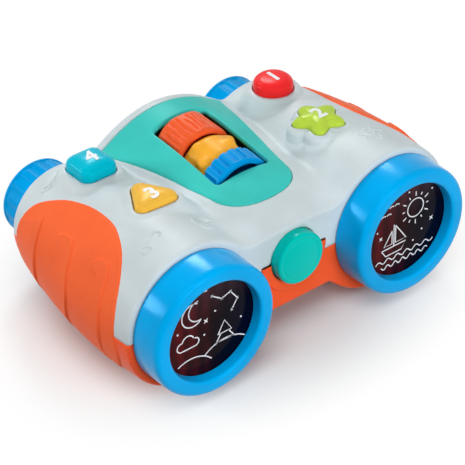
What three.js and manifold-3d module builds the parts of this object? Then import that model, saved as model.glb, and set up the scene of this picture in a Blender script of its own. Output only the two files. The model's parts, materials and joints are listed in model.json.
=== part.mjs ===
// Toy binoculars: a two-piece casing with push buttons, a set of spinning rollers,
// two printed front lenses and two turning eyepieces. Millimetres, +Z up.
// Inside the body group x runs across, y from the front face to the rear and z up from the barrel axes.

import * as THREE from 'three';
import { mergeVertices } from 'three/addons/utils/BufferGeometryUtils.js';
import Module from 'manifold-3d';

const wasm = await Module();
wasm.setup();

// Clearances
const seatGap = 0.3;
const slideGap = 0.4;
const runGap = 0.7;

// Casing
const wall = 2.2;
const bodyLength = 98.5;
const barrelAxis = 54;
const barrelPeak = 34.2;
const barrelPeakAt = 23;
const barrelSwellRadius = 278;
const crestRear = 35.9;
const crestFall = 15.2;
const crestPower = 2.5;
const archRadiusRear = 44;
const archRadiusFront = 170;
const archStart = 12;
const archFull = 45;
const bridgeDepth = 17.5;
const topBlend = 6;
const bottomBlend = 12;
const bottomFullness = 2.2;
const frontFillet = 1.4;
const rearFillet = 2.5;

// Feet
const standHeight = 35.5;
const footRadius = 7;
const frontFootAt = 14;
const rearFootMargin = 22.5;
const rearFootAt = bodyLength - rearFootMargin;

// Grips
const gripThickness = 1.2;
const gripEdge = [
  [22, -31], [14, -24], [8, -12], [8.6, 0], [9.6, 12], [13, 22.6], [20, 29], [31, 31.9],
  [42, 32.2], [58, 30.5], [73, 26.8], [86, 19.2], [92, 6], [91, -8], [83, -22], [66, -30], [44, -32.4],
];

// Lens rings
const lensRadius = 31;
const lensFrontRadius = 30.2;
const lensReach = 16;
const lensStraight = 6;
const lensLip = 3.2;
const lensLipRound = 1;
const lensMouthRadius = 23.1;
const lensBoreRadius = 25.3;
const lensNeckRadius = 28;
const lensFlangeRadius = 30.3;
const lensFlange = 2;
const windowDepth = 5.7;
const windowThickness = 2;

// Lamps behind the lenses
const cupFlange = 2;
const cupLength = 21;
const cupSkin = 1.5;
const cupMouthRadius = 23.4;
const cupTailRadius = 8;
const lampHoleRadius = 3.4;
const lampRadius = 2.5;
const lampLength = 5;
const lampBoardRadius = 9;

// Eyepieces
const eyeReach = 16.5;
const eyeRadius = 18.3;
const eyeNeckRadius = 15;
const eyeFlangeRadius = 16.6;
const eyeFlange = 2;
const eyeCollarRadius = 19.6;
const eyeCollar = 2;
const eyeFluteCount = 16;
const eyeFluteDepth = 0.8;
const eyeRim = 2;
const eyeRimRound = 0.8;
const eyeRimStep = 0.2;
const eyeBoreRadius = 10.5;
const eyeMouthRadius = 15;
const eyeSeatRadius = 13.6;
const eyeCupDepth = 11.5;

// Top panel
const panelProud = 0.8;
const panelThickness = 1.8;
const panelRim = 1.6;
const panelFlange = 1.5;
const panelFlangeReach = 2.5;
const panelRearMargin = 5.5;
const panelRearAt = bodyLength - panelRearMargin;
const panelRearHalf = 34;
const panelWaistAt = 30.5;
const panelWaistHalf = 20.5;
const panelFrontAt = 15.5;
const panelNoseHalf = 19.5;
const panelFlareAt = 66;
const panelFlareHalf = 27;

// Rollers
const rollerRadius = 15.9;
const rollerBore = 2.4;
const axleRadius = 2;
const axleHeight = 21.9;
const axleTilt = 0.09;
const frontRollerLength = 10;
const middleRollerLength = 15.6;
const rearRollerLength = 17;
const rollerSpacing = 0.5;
const rollersRearMargin = 14.2;
const rollersEnd = panelRearAt - rollersRearMargin;
const axleHeightMargin = 18.8;
const axleHeightAt = rollersEnd - axleHeightMargin;
const frontRibCount = 14;
const frontRibDepth = 1.8;
const frontRibCrispness = 3;
const middleLobeCount = 9;
const middleLobeDepth = 3.2;
const rearRibCount = 22;
const rearRibDepth = 1;
const windowHalf = 14.2;
const windowCorner = 2.5;
const cradleWall = 1.6;

// Buttons
const bossWall = 2;
const buttonFlange = 1.5;
const buttonFlangeReach = 1.3;
const buttonRound = 1.6;
const domeRadius = 4;
const domeHeight = 4.2;
const domeSkirt = 0.8;
const domeNeck = 2.2;
const rearButtonMargin = 24.1;
const rearButtonAt = bodyLength - rearButtonMargin;
const rearButtonInset = 3.7;
const rearBossProud = 3.4;
const rearCapProud = 6.8;
const frontPairAt = 38;
const frontPairInset = 8.2;
const frontBossProud = 1.2;
const frontCapProud = 4.2;
const roundButtonRadius = 9.2;
const squareButtonHalf = 8.8;
const squareButtonCorner = 4;
const triangleButtonReach = 11.4;
const triangleButtonCorner = 3.4;
const starButtonRadius = 10;
const starButtonWave = 1.7;

// Front button
const pushRadius = 12.2;
const pushHeight = 5.5;
const pushProud = 5.5;
const pushCrown = 0.6;
const pushBoardInset = 1;
const saddleWidth = 5;
const saddleProud = 0.8;

// Boards
const boardThickness = 1.6;
const buttonBoardHalf = 12;
const buttonBoardMargin = 9;
const pegRadius = 2.2;
const pegPinRadius = 1;
const pegSpread = 8.5;
const mainBoardWidth = 32;
const mainBoardLength = 46;
const mainBoardAt = 56;
const mainBoardDrop = 18;
const standoffRadius = 2.5;
const chipRadius = 6;
const chipHeight = 1.6;
const socketHalf = 6;
const socketDepth = 6;
const socketHeight = 4;
const sink = 0.5;

// Speaker
const speakerRadius = 15;
const speakerAt = 54;
const speakerDrop = 22;
const speakerFlange = 1.5;
const speakerConeRadius = 6;
const speakerConeDepth = 4;
const magnetRadius = 9;
const magnetFoot = 5;
const magnetTop = 8;
const grilleSlots = 5;
const grilleSlotWidth = 2.4;

// Batteries
const batteryRadius = 5.25;
const batteryLength = 44.5;
const batteryNub = 1.2;
const batteryNubRadius = 2;
const batteryCount = 3;
const batteryPitch = 11.5;
const contactThickness = 0.8;
const boxWall = 1.6;
const doorThickness = 3;

// Power switch
const knobLength = 7;
const knobWidth = 4;
const knobProud = 1.6;
const knobTravel = 3;
const knobMargin = 7;
const knobAt = bodyLength - knobMargin;
const switchBody = 5;
const knobPlate = 1.2;
const knobPlateMargin = 1.8;

// Screws
const screwHeadRadius = 2.8;
const screwHeadHeight = 1.8;
const screwRadius = 1.4;
const screwReach = 12;
const screwPostRadius = 3.3;
const screwHeadDrop = 12;
const doorScrewReach = 7;
const frontScrewAt = 12;
const frontScrewInset = 29;
const middleScrewAt = 56;
const middleScrewInset = 21.9;
const rearScrewMargin = 11.5;
const rearScrewAt = bodyLength - rearScrewMargin;
const rearScrewInset = 13.5;

// Mesh fineness
const acrossSteps = 7;
const roundSteps = 5;
const loftStep = 16;
const bigRound = 32;
const midRound = 24;
const smallRound = 8;
const curveSteps = 5;
const gripSteps = 40;
const weld = 1e-4;
const far = 200;

// Solids from three.js geometry

function solid(geometry) {
  const bare = geometry.clone();
  bare.deleteAttribute('normal');
  bare.deleteAttribute('uv');
  const welded = mergeVertices(bare, weld);
  const place = welded.attributes.position;
  const triangles = [];
  const a = new THREE.Vector3();
  const b = new THREE.Vector3();
  const c = new THREE.Vector3();
  let volume = 0;
  for (let i = 0; i < welded.index.count; i += 3) {
    const corner = [0, 1, 2].map((k) => welded.index.getX(i + k));
    const [p, q, r] = corner;
    if (p === q || q === r || r === p) continue;
    a.fromBufferAttribute(place, p);
    b.fromBufferAttribute(place, q);
    c.fromBufferAttribute(place, r);
    volume += a.dot(b.cross(c));
    triangles.push(corner);
  }
  const outward = volume > 0 ? triangles : triangles.map(([p, q, r]) => [p, r, q]);
  return new wasm.Manifold(new wasm.Mesh({
    numProp: 3,
    vertProperties: new Float32Array(place.array),
    triVerts: new Uint32Array(outward.flat()),
  }));
}

function geometryOf(body) {
  const mesh = body.getMesh();
  const geometry = new THREE.BufferGeometry();
  geometry.setAttribute('position', new THREE.BufferAttribute(new Float32Array(mesh.vertProperties), 3));
  geometry.setIndex(new THREE.BufferAttribute(new Uint32Array(mesh.triVerts), 1));
  geometry.computeVertexNormals();
  return geometry;
}

function joinAll(bodies) {
  return bodies.reduce((whole, body) => whole.add(body));
}

function cutAll(body, cutters) {
  return cutters.reduce((rest, cutter) => rest.subtract(cutter), body);
}

function box(x0, x1, y0, y1, z0, z1) {
  const geometry = new THREE.BoxGeometry(x1 - x0, y1 - y0, z1 - z0);
  return solid(geometry.translate((x0 + x1) / 2, (y0 + y1) / 2, (z0 + z1) / 2));
}

function rod(x, z, radius, y0, y1, sides = bigRound) {
  const geometry = new THREE.CylinderGeometry(radius, radius, y1 - y0, sides);
  return solid(geometry.translate(x, (y0 + y1) / 2, z));
}

function post(x, y, radius, z0, z1, sides = smallRound) {
  const geometry = new THREE.CylinderGeometry(radius, radius, z1 - z0, sides).rotateX(Math.PI / 2);
  return solid(geometry.translate(x, y, (z0 + z1) / 2));
}

function turned(profile, sides = bigRound) {
  return solid(new THREE.LatheGeometry(profile.map(([r, y]) => new THREE.Vector2(r, y)), sides));
}

function prismZ(points, z0, z1) {
  const options = { depth: z1 - z0, bevelEnabled: false };
  return solid(new THREE.ExtrudeGeometry(new THREE.Shape(points), options).translate(0, 0, z0));
}

function prismY(points, y0, y1, hole) {
  const shape = new THREE.Shape(points);
  if (hole) shape.holes.push(new THREE.Path(hole));
  const geometry = new THREE.ExtrudeGeometry(shape, { depth: y1 - y0, bevelEnabled: false });
  return solid(geometry.rotateX(Math.PI / 2).translate(0, y1, 0));
}

function prismX(shape, x0, x1) {
  const sideways = new THREE.Matrix4().makeBasis(
    new THREE.Vector3(0, 1, 0), new THREE.Vector3(0, 0, 1), new THREE.Vector3(1, 0, 0));
  const geometry = new THREE.ExtrudeGeometry(shape, { depth: x1 - x0, bevelEnabled: false });
  return solid(geometry.applyMatrix4(sideways).translate(x0, 0, 0));
}

function cap(points, foot, top) {
  const options = {
    depth: top - foot - 2 * buttonRound,
    bevelThickness: buttonRound,
    bevelSize: buttonRound,
    bevelOffset: -buttonRound,
    bevelSegments: 2,
  };
  const geometry = new THREE.ExtrudeGeometry(new THREE.Shape(points), options);
  return solid(geometry.translate(0, 0, foot + buttonRound));
}

// Outlines

function polarOutline(radiusAt, steps) {
  const turn = (i) => 2 * Math.PI * i / steps;
  return Array.from({ length: steps }, (_, i) => {
    const radius = radiusAt(turn(i));
    return new THREE.Vector2(radius * Math.cos(turn(i)), radius * Math.sin(turn(i)));
  });
}

function circle(radius, steps) {
  return polarOutline(() => radius, steps);
}

function roundedPolygon(corners, reach, radius, startAngle) {
  const core = reach - radius;
  const arcSteps = 3;
  const points = [];
  for (let i = 0; i < corners; i += 1) {
    const heading = startAngle + 2 * Math.PI * i / corners;
    for (let k = 0; k <= arcSteps; k += 1) {
      const angle = heading + (k / arcSteps - 0.5) * 2 * Math.PI / corners;
      points.push(new THREE.Vector2(
        core * Math.cos(heading) + radius * Math.cos(angle),
        core * Math.sin(heading) + radius * Math.sin(angle)));
    }
  }
  return points;
}

function grow(points, amount) {
  const count = points.length;
  return points.map((point, i) => {
    const before = new THREE.Vector2().subVectors(point, points[(i + count - 1) % count]).normalize();
    const after = new THREE.Vector2().subVectors(points[(i + 1) % count], point).normalize();
    const normal = new THREE.Vector2(before.y + after.y, -before.x - after.x);
    return normal.multiplyScalar(amount / (1 + before.dot(after))).add(point);
  });
}

function moved(points, x, y) {
  return points.map((point) => new THREE.Vector2(point.x + x, point.y + y));
}

// Casing surface: two swelling barrels with an arched bridge blended between them

function smoothMax(a, b, width) {
  return (a + b + Math.hypot(a - b, width)) / 2;
}

function barrelRadius(y, inset) {
  const fromPeak = y - barrelPeakAt;
  return barrelPeak - fromPeak * fromPeak / (2 * barrelSwellRadius) - inset;
}

function barrelRise(x, y, inset, fullness) {
  const radius = barrelRadius(y, inset);
  const aside = Math.min(1, Math.abs(Math.abs(x) - barrelAxis) / radius);
  return radius * (1 - aside ** fullness) ** (1 / fullness);
}

function blendFade(x) {
  const share = Math.min(1, Math.abs(x) / barrelAxis);
  return 1 - share ** 4;
}

function crest(y) {
  return crestRear - crestFall * Math.max(0, 1 - y / bodyLength) ** crestPower;
}

function topHeight(x, y, inset) {
  const settled = THREE.MathUtils.smoothstep(y, archStart, archFull);
  const curve = THREE.MathUtils.lerp(1 / archRadiusFront, 1 / archRadiusRear, settled);
  const bridge = crest(y) - inset - x * x * curve / 2;
  return smoothMax(bridge, barrelRise(x, y, inset, 2), topBlend * blendFade(x));
}

function bottomDepth(x, y, inset) {
  const barrel = barrelRise(x, y, inset, bottomFullness);
  return smoothMax(bridgeDepth - inset, barrel, bottomBlend * blendFade(x));
}

function sectionRing(y, inset) {
  const radius = barrelRadius(y, inset);
  const right = [];
  for (let i = 0; i <= acrossSteps; i += 1) {
    const x = barrelAxis * i / acrossSteps;
    right.push(new THREE.Vector2(x, topHeight(x, y, inset)));
  }
  for (let i = 1; i < 2 * roundSteps; i += 1) {
    const angle = Math.PI / 2 * (1 - i / roundSteps);
    const power = i > roundSteps ? 2 / bottomFullness : 1;
    const across = Math.abs(Math.cos(angle)) ** power;
    const upward = Math.sign(Math.sin(angle)) * Math.abs(Math.sin(angle)) ** power;
    right.push(new THREE.Vector2(barrelAxis + radius * across, radius * upward));
  }
  for (let i = acrossSteps; i >= 0; i -= 1) {
    const x = barrelAxis * i / acrossSteps;
    right.push(new THREE.Vector2(x, -bottomDepth(x, y, inset)));
  }
  const left = right.slice(1, -1).reverse().map((point) => new THREE.Vector2(-point.x, point.y));
  return right.concat(left);
}

function loft(stations) {
  const rings = stations.map(({ y, inset }) => sectionRing(y, inset));
  const size = rings[0].length;
  const places = rings.flatMap((ring, i) => ring.flatMap((point) => [point.x, stations[i].y, point.y]));
  const index = [];
  for (let i = 0; i + 1 < rings.length; i += 1) {
    for (let k = 0; k < size; k += 1) {
      const next = (k + 1) % size;
      const [a, b] = [i * size + k, i * size + next];
      const [c, d] = [(i + 1) * size + next, (i + 1) * size + k];
      index.push(a, b, d, b, c, d);
    }
  }
  const addCap = (ring, first, facing) => {
    for (const [p, q, r] of THREE.ShapeUtils.triangulateShape(ring, [])) {
      const side = THREE.ShapeUtils.area([ring[p], ring[q], ring[r]]);
      index.push(first + p, ...(side * facing > 0 ? [first + q, first + r] : [first + r, first + q]));
    }
  };
  addCap(rings[0], 0, 1);
  addCap(rings[rings.length - 1], (rings.length - 1) * size, -1);
  const geometry = new THREE.BufferGeometry();
  geometry.setAttribute('position', new THREE.BufferAttribute(new Float32Array(places), 3));
  geometry.setIndex(index);
  return solid(geometry);
}

function evenStations(y0, y1, inset) {
  const places = [y0];
  for (let y = loftStep; y < y1 - loftStep / 4; y += loftStep) {
    if (y > y0 + loftStep / 4) places.push(y);
  }
  places.push(y1);
  return places.map((y) => ({ y, inset }));
}

function filletStation(end, inward, radius, angle) {
  return { y: end + inward * radius * (1 - Math.cos(angle)), inset: radius * (1 - Math.sin(angle)) };
}

function insetLoft(inset, margin) {
  return loft(evenStations(margin, bodyLength - margin, inset));
}

const outerBody = loft([
  filletStation(0, 1, frontFillet, 0),
  filletStation(0, 1, frontFillet, Math.PI / 4),
  ...evenStations(frontFillet, bodyLength - rearFillet, 0),
  filletStation(bodyLength, -1, rearFillet, Math.PI / 4),
  filletStation(bodyLength, -1, rearFillet, 0),
]);
const cavity = insetLoft(wall, wall);
const wallCore = insetLoft(wall / 2, wall / 2);
const bodyShell = outerBody.subtract(cavity);
const sides = [-1, 1];

// Button layout, each with its outline round its own centre

const buttonPlan = {
  round: {
    x: barrelAxis - rearButtonInset,
    y: rearButtonAt,
    proud: rearBossProud,
    capProud: rearCapProud,
    outline: circle(roundButtonRadius, midRound),
  },
  star: {
    x: barrelAxis - frontPairInset,
    y: frontPairAt,
    proud: frontBossProud,
    capProud: frontCapProud,
    outline: polarOutline((t) => starButtonRadius + starButtonWave * Math.cos(5 * (t - Math.PI / 2)), 30),
  },
  triangle: {
    x: frontPairInset - barrelAxis,
    y: frontPairAt,
    proud: frontBossProud,
    capProud: frontCapProud,
    outline: roundedPolygon(3, triangleButtonReach, triangleButtonCorner, Math.PI / 2),
  },
  square: {
    x: rearButtonInset - barrelAxis,
    y: rearButtonAt,
    proud: rearBossProud,
    capProud: rearCapProud,
    outline: roundedPolygon(4, squareButtonHalf * Math.SQRT2 - squareButtonCorner * (Math.SQRT2 - 1),
      squareButtonCorner, Math.PI / 4),
  },
};
for (const button of Object.values(buttonPlan)) {
  button.outline = moved(button.outline, button.x, button.y);
  button.bossTop = topHeight(button.x, button.y, 0) + button.proud;
  button.hole = grow(button.outline, slideGap);
  button.boss = grow(button.hole, bossWall);
  button.lowest = Math.min(...button.boss.map((point) => topHeight(point.x, point.y, wall)));
}
const sleeveFoot = Math.min(...Object.values(buttonPlan).map((button) => button.lowest)) - seatGap;
const flangeTop = sleeveFoot - seatGap;
const flangeFoot = flangeTop - buttonFlange;
const boardTop = flangeFoot - domeHeight - 2 * seatGap;

// Screw places, and the pegs that carry the button boards

const screwPlaces = sides.flatMap((side) => [
  { x: side * (barrelAxis - frontScrewInset), y: frontScrewAt },
  { x: side * (barrelAxis - middleScrewInset), y: middleScrewAt },
  { x: side * (barrelAxis - rearScrewInset), y: rearScrewAt },
]);
const boardMiddle = (rearButtonAt + frontPairAt) / 2;
const boardX = barrelAxis - (rearButtonInset + frontPairInset) / 2;
const pegPlaces = sides.flatMap((side) => [-pegSpread, pegSpread].map((step) => (
  { x: side * (boardX + step), y: boardMiddle })));
const split = seatGap / 2;

// Roller well

const axleSlope = Math.atan(axleTilt);
const rearRollerAt = rollersEnd - rearRollerLength;
const middleRollerAt = rearRollerAt - rollerSpacing - middleRollerLength;
const frontRollerAt = middleRollerAt - rollerSpacing - frontRollerLength;
const rollerStack = [
  { name: 'front', from: frontRollerAt, length: frontRollerLength },
  { name: 'middle', from: middleRollerAt, length: middleRollerLength },
  { name: 'rear', from: rearRollerAt, length: rearRollerLength },
];
const wellFront = frontRollerAt - runGap - axleTilt * rollerRadius;
const wellRear = rollersEnd + runGap + axleTilt * rollerRadius;
const wellHalf = rollerRadius + runGap;
const axleAt = (y) => axleHeight + axleTilt * (y - axleHeightAt);
const wellFloor = axleAt(wellFront) - rollerRadius - runGap;
const cradleFoot = wellFloor - cradleWall;
const cradleFront = wellFront - cradleWall;
const cradleRear = wellRear + cradleWall;

function tiltedRod(radius, y0, y1, sidesAround) {
  const geometry = new THREE.CylinderGeometry(radius, radius, y1 - y0, sidesAround);
  geometry.translate(0, (y0 + y1) / 2 - axleHeightAt, 0);
  return solid(geometry.rotateX(axleSlope).translate(0, axleHeightAt, axleHeight));
}

function windowOutline() {
  const shape = new THREE.Shape();
  const front = wellFront;
  const rear = rollersEnd + runGap;
  shape.moveTo(windowHalf, front + windowCorner);
  shape.lineTo(windowHalf, rear - windowCorner);
  shape.quadraticCurveTo(windowHalf, rear, windowHalf - windowCorner, rear);
  shape.lineTo(windowCorner - windowHalf, rear);
  shape.quadraticCurveTo(-windowHalf, rear, -windowHalf, rear - windowCorner);
  shape.lineTo(-windowHalf, front + windowCorner);
  shape.quadraticCurveTo(-windowHalf, front, windowCorner - windowHalf, front);
  shape.lineTo(windowHalf - windowCorner, front);
  shape.quadraticCurveTo(windowHalf, front, windowHalf, front + windowCorner);
  return shape.getPoints(3).slice(0, -1);
}

function panelOutline() {
  const shape = new THREE.Shape();
  shape.moveTo(0, panelFrontAt);
  shape.quadraticCurveTo(panelNoseHalf, panelFrontAt, panelWaistHalf, panelWaistAt);
  shape.quadraticCurveTo(panelFlareHalf, panelFlareAt, panelRearHalf, panelRearAt);
  shape.lineTo(-panelRearHalf, panelRearAt);
  shape.quadraticCurveTo(-panelFlareHalf, panelFlareAt, -panelWaistHalf, panelWaistAt);
  shape.quadraticCurveTo(-panelNoseHalf, panelFrontAt, 0, panelFrontAt);
  return shape.getPoints(curveSteps).slice(0, -1);
}

// Battery bay, in the flat floor of the bridge

const floorDepth = bottomDepth(0, 0, 0);
const doorTop = -floorDepth + doorThickness;
const bayTop = cradleFoot - seatGap - boxWall;
const bayHalf = (batteryCount - 1) / 2 * batteryPitch + batteryRadius + slideGap;
const doorRear = knobAt - knobWidth / 2 - knobPlateMargin - runGap;
const bayRear = doorRear - 2 * screwPostRadius - boxWall;
const bayFront = bayRear - batteryLength - 2 * contactThickness - 4 * seatGap;
const doorFront = bayFront - boxWall - 2 * screwPostRadius;
const batteryAt = (bayFront + bayRear) / 2;
const doorScrewPlaces = [doorFront + screwPostRadius, doorRear - screwPostRadius];

// Pieces of the casing

function makeUpperCasing() {
  const above = box(-far, far, -far, far, split, far);
  const bosses = Object.values(buttonPlan).map(({ boss, bossTop }) => prismZ(boss, sleeveFoot, bossTop));
  const screwPosts = screwPlaces.map(({ x, y }) => (
    post(x, y, screwPostRadius, split, far).intersect(wallCore)));
  const pegs = pegPlaces.flatMap(({ x, y }) => [
    post(x, y, pegRadius, boardTop + seatGap, far).intersect(wallCore),
    post(x, y, pegPinRadius, boardTop - boardThickness - seatGap, far).intersect(wallCore),
  ]);
  const body = joinAll([bodyShell.intersect(above), ...bosses, ...screwPosts, ...pegs]);
  const saddleRoom = rod(0, pushHeight, pushRadius + slideGap + saddleWidth + seatGap, -far, wall + seatGap)
    .intersect(box(-far, far, -far, far, -far, pushHeight + seatGap));
  return cutAll(body, [
    ...Object.values(buttonPlan).map(({ hole }) => prismZ(hole, 0, far)),
    ...screwPlaces.map(({ x, y }) => post(x, y, screwRadius + seatGap, -far, screwReach + seatGap)),
    ...endBores(),
    prismZ(grow(panelOutline(), seatGap), crest(0) / 2, far),
    saddleRoom,
  ]);
}

function endBores() {
  const front = sides.map((side) => (
    rod(side * barrelAxis, 0, lensNeckRadius + seatGap, -far, wall + seatGap)));
  const rear = sides.map((side) => (
    rod(side * barrelAxis, 0, eyeNeckRadius + seatGap, bodyLength - wall - seatGap, far)));
  const push = rod(0, pushHeight, pushRadius + slideGap, -far, wall + seatGap);
  return [...front, ...rear, push];
}

function makeLowerCasing() {
  const below = box(-far, far, -far, far, -far, -split);
  const feet = sides.flatMap((side) => [frontFootAt, rearFootAt].map((y) => (
    post(side * barrelAxis, y, footRadius, -standHeight, -barrelRadius(y, wall / 2), midRound))));
  const saddle = rod(0, pushHeight, pushRadius + slideGap + saddleWidth, -saddleProud, wall)
    .intersect(box(-far, far, -far, far, -far, pushHeight));
  const screwPosts = screwPlaces.map(({ x, y }) => (
    post(x, y, screwPostRadius, -far, -split).intersect(wallCore)));
  const bay = box(-bayHalf - boxWall, bayHalf + boxWall, bayFront - boxWall, bayRear + boxWall,
    -floorDepth, bayTop + boxWall);
  const doorPosts = doorScrewPlaces.map((y) => (
    post(0, y, screwPostRadius, doorTop + seatGap, bayTop + boxWall)
      .add(box(-screwPostRadius, screwPostRadius, Math.min(y, batteryAt), Math.max(y, batteryAt),
        doorTop + seatGap, bayTop + boxWall))));
  const pushBrace = box(-pushRadius, pushRadius, pushBoardRear + seatGap, pushBoardRear + seatGap + boxWall,
    -floorDepth + wall / 2, pushHeight);
  const standoffs = mainBoardCorners().map(({ x, y }) => (
    post(x, y, standoffRadius, -far, -mainBoardDrop - seatGap).intersect(wallCore)));
  const speakerColumn = (radius, top) => post(barrelAxis, speakerAt, radius, -far, top, midRound);
  const speakerWell = speakerColumn(speakerRadius + boxWall, -speakerDrop - seatGap)
    .intersect(wallCore)
    .subtract(speakerColumn(speakerRadius - boxWall, 0).intersect(cavity));
  const body = joinAll([
    bodyShell.intersect(below), ...feet, saddle, ...screwPosts, bay,
    ...doorPosts, pushBrace, ...standoffs, speakerWell,
  ]);
  const bayRoom = box(-bayHalf, bayHalf, bayFront, bayRear, -far, bayTop);
  const doorRoom = box(-bayHalf - seatGap, bayHalf + seatGap, doorFront - seatGap, doorRear + seatGap,
    -far, doorTop + seatGap);
  const slots = Array.from({ length: grilleSlots }, (_, i) => {
    const x = barrelAxis + (i - (grilleSlots - 1) / 2) * 2 * grilleSlotWidth;
    const half = speakerRadius / 2;
    return box(x - grilleSlotWidth / 2, x + grilleSlotWidth / 2, speakerAt - half, speakerAt + half,
      -far, -speakerDrop - seatGap);
  });
  const knobSlot = box(-knobLength / 2 - knobTravel - slideGap, knobLength / 2 + knobTravel + slideGap,
    knobAt - knobWidth / 2 - slideGap, knobAt + knobWidth / 2 + slideGap, -far, -floorDepth + wall + seatGap);
  return cutAll(body, [
    bayRoom, doorRoom, ...slots, knobSlot, ...endBores(),
    ...screwPlaces.map(({ x, y }) => post(x, y, screwHeadRadius + seatGap, -far, -screwHeadDrop + seatGap)),
    ...screwPlaces.map(({ x, y }) => post(x, y, screwRadius + seatGap, -far, 0)),
    ...doorScrewPlaces.map((y) => post(0, y, screwRadius + seatGap, -far, doorTop + doorScrewReach)),
  ]);
}

function makeGrip(side) {
  const skin = insetLoft(-seatGap - gripThickness, 0).subtract(insetLoft(-seatGap, 0));
  const corners = gripEdge.map(([y, z]) => new THREE.Vector3(y, z, 0));
  const edge = new THREE.CatmullRomCurve3(corners, true);
  const outline = edge.getPoints(gripSteps).slice(0, -1).map((point) => new THREE.Vector2(point.x, point.y));
  const inside = side * barrelAxis;
  const outside = side * far;
  const column = prismX(new THREE.Shape(outline), Math.min(inside, outside), Math.max(inside, outside));
  return skin.intersect(column);
}

function makeTopPanel() {
  const skin = insetLoft(-panelProud, 0);
  const underside = insetLoft(panelThickness - panelProud, 0);
  const flangeCeiling = insetLoft(wall + seatGap, wall + seatGap);
  const flangeFloor = insetLoft(wall + seatGap + panelFlange, wall + seatGap);
  const outline = panelOutline();
  const column = (amount) => prismZ(grow(outline, amount), crest(0) / 2, far);
  const inner = column(-panelRim);
  const plate = skin.subtract(underside).intersect(column(0));
  const rim = skin.subtract(flangeFloor).intersect(column(0).subtract(inner));
  const flange = flangeCeiling.subtract(flangeFloor).intersect(column(panelFlangeReach).subtract(inner));
  return joinAll([plate, rim, flange]).subtract(prismZ(windowOutline(), 0, far));
}

// Rollers and their cradle

function makeCradle() {
  const ceiling = insetLoft(panelThickness - panelProud + seatGap, 0);
  const half = wellHalf + cradleWall;
  const trough = box(-half, half, cradleFront, cradleRear, cradleFoot, far)
    .subtract(box(-wellHalf, wellHalf, wellFront, wellRear, wellFloor, far));
  return trough.intersect(ceiling)
    .subtract(prismZ(windowOutline(), axleHeight, far))
    .subtract(tiltedRod(axleRadius + seatGap, cradleFront - sink, cradleRear + sink, smallRound));
}

const rollerShapes = {
  front: (t) => Math.tanh(frontRibCrispness * Math.cos(frontRibCount * t)),
  middle: (t) => Math.cos(middleLobeCount * t),
  rear: (t) => Math.cos(rearRibCount * t),
};
const rollerDepths = { front: frontRibDepth, middle: middleLobeDepth, rear: rearRibDepth };
const rollerSteps = { front: 4 * frontRibCount, middle: 5 * middleLobeCount, rear: 3 * rearRibCount };

function makeRoller(name, from, length) {
  const radiusAt = (t) => rollerRadius - rollerDepths[name] / 2 * (1 - rollerShapes[name](t));
  const outline = polarOutline(radiusAt, rollerSteps[name]);
  const bore = circle(rollerBore, smallRound);
  return prismY(outline, from - axleHeightAt, from - axleHeightAt + length, bore);
}

// Buttons

function makeButton({ outline, bossTop, capProud }) {
  const crown = cap(outline, flangeFoot, bossTop + capProud);
  return crown.add(prismZ(grow(outline, buttonFlangeReach), flangeFoot, flangeTop));
}

function domeProfile(foot, top) {
  const neck = foot + (top - foot) / 2;
  const skirt = foot + Math.sign(top - foot) * domeSkirt;
  return [[0, foot], [domeRadius, foot], [domeRadius, skirt], [domeNeck, neck], [domeNeck, top], [0, top]];
}

function makeButtonDome({ x, y }) {
  const lathe = new THREE.LatheGeometry(
    domeProfile(0, domeHeight).map(([r, h]) => new THREE.Vector2(r, h)), smallRound);
  return solid(lathe.rotateX(Math.PI / 2).translate(x, y, boardTop + seatGap));
}

const pushFlangeFront = wall + seatGap;
const pushFlangeRear = pushFlangeFront + buttonFlange;
const pushBoardFront = pushFlangeRear + domeHeight + 2 * seatGap;
const pushBoardRear = pushBoardFront + boardThickness;

function makeFrontButton() {
  const face = -pushProud;
  const outerRim = pushRadius - buttonRound;
  const profile = [
    [0, face - pushCrown], [outerRim / 2, face - pushCrown * 0.75], [outerRim, face],
    [pushRadius - buttonRound * 0.3, face + buttonRound * 0.3],
    [pushRadius, face + buttonRound], [pushRadius, pushFlangeFront],
    [pushRadius + buttonFlangeReach + slideGap, pushFlangeFront],
    [pushRadius + buttonFlangeReach + slideGap, pushFlangeRear], [0, pushFlangeRear],
  ];
  return turned(profile).translate([0, 0, pushHeight]);
}

// Boards and speaker

function makeButtonBoard(side) {
  const x = side * boardX;
  const plate = box(x - buttonBoardHalf, x + buttonBoardHalf,
    frontPairAt - buttonBoardMargin, rearButtonAt + buttonBoardMargin, boardTop - boardThickness, boardTop);
  return cutAll(plate, pegPlaces.map((peg) => post(peg.x, peg.y, pegPinRadius + seatGap, -far, far)));
}

function mainBoardCorners() {
  const inset = standoffRadius;
  return sides.flatMap((u) => sides.map((v) => ({
    x: -barrelAxis + u * (mainBoardWidth / 2 - inset),
    y: mainBoardAt + v * (mainBoardLength / 2 - inset),
  })));
}

function makeMainBoard() {
  const top = -mainBoardDrop + boardThickness;
  const plate = box(-barrelAxis - mainBoardWidth / 2, -barrelAxis + mainBoardWidth / 2,
    mainBoardAt - mainBoardLength / 2, mainBoardAt + mainBoardLength / 2, -mainBoardDrop, top);
  const chip = post(-barrelAxis, mainBoardAt, chipRadius, top - sink, top + chipHeight);
  const socketRear = mainBoardAt + mainBoardLength / 2 - boardThickness;
  const socket = box(-barrelAxis - socketHalf, -barrelAxis + socketHalf,
    socketRear - socketDepth, socketRear, top - sink, top + socketHeight);
  return joinAll([plate, chip, socket]);
}

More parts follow.
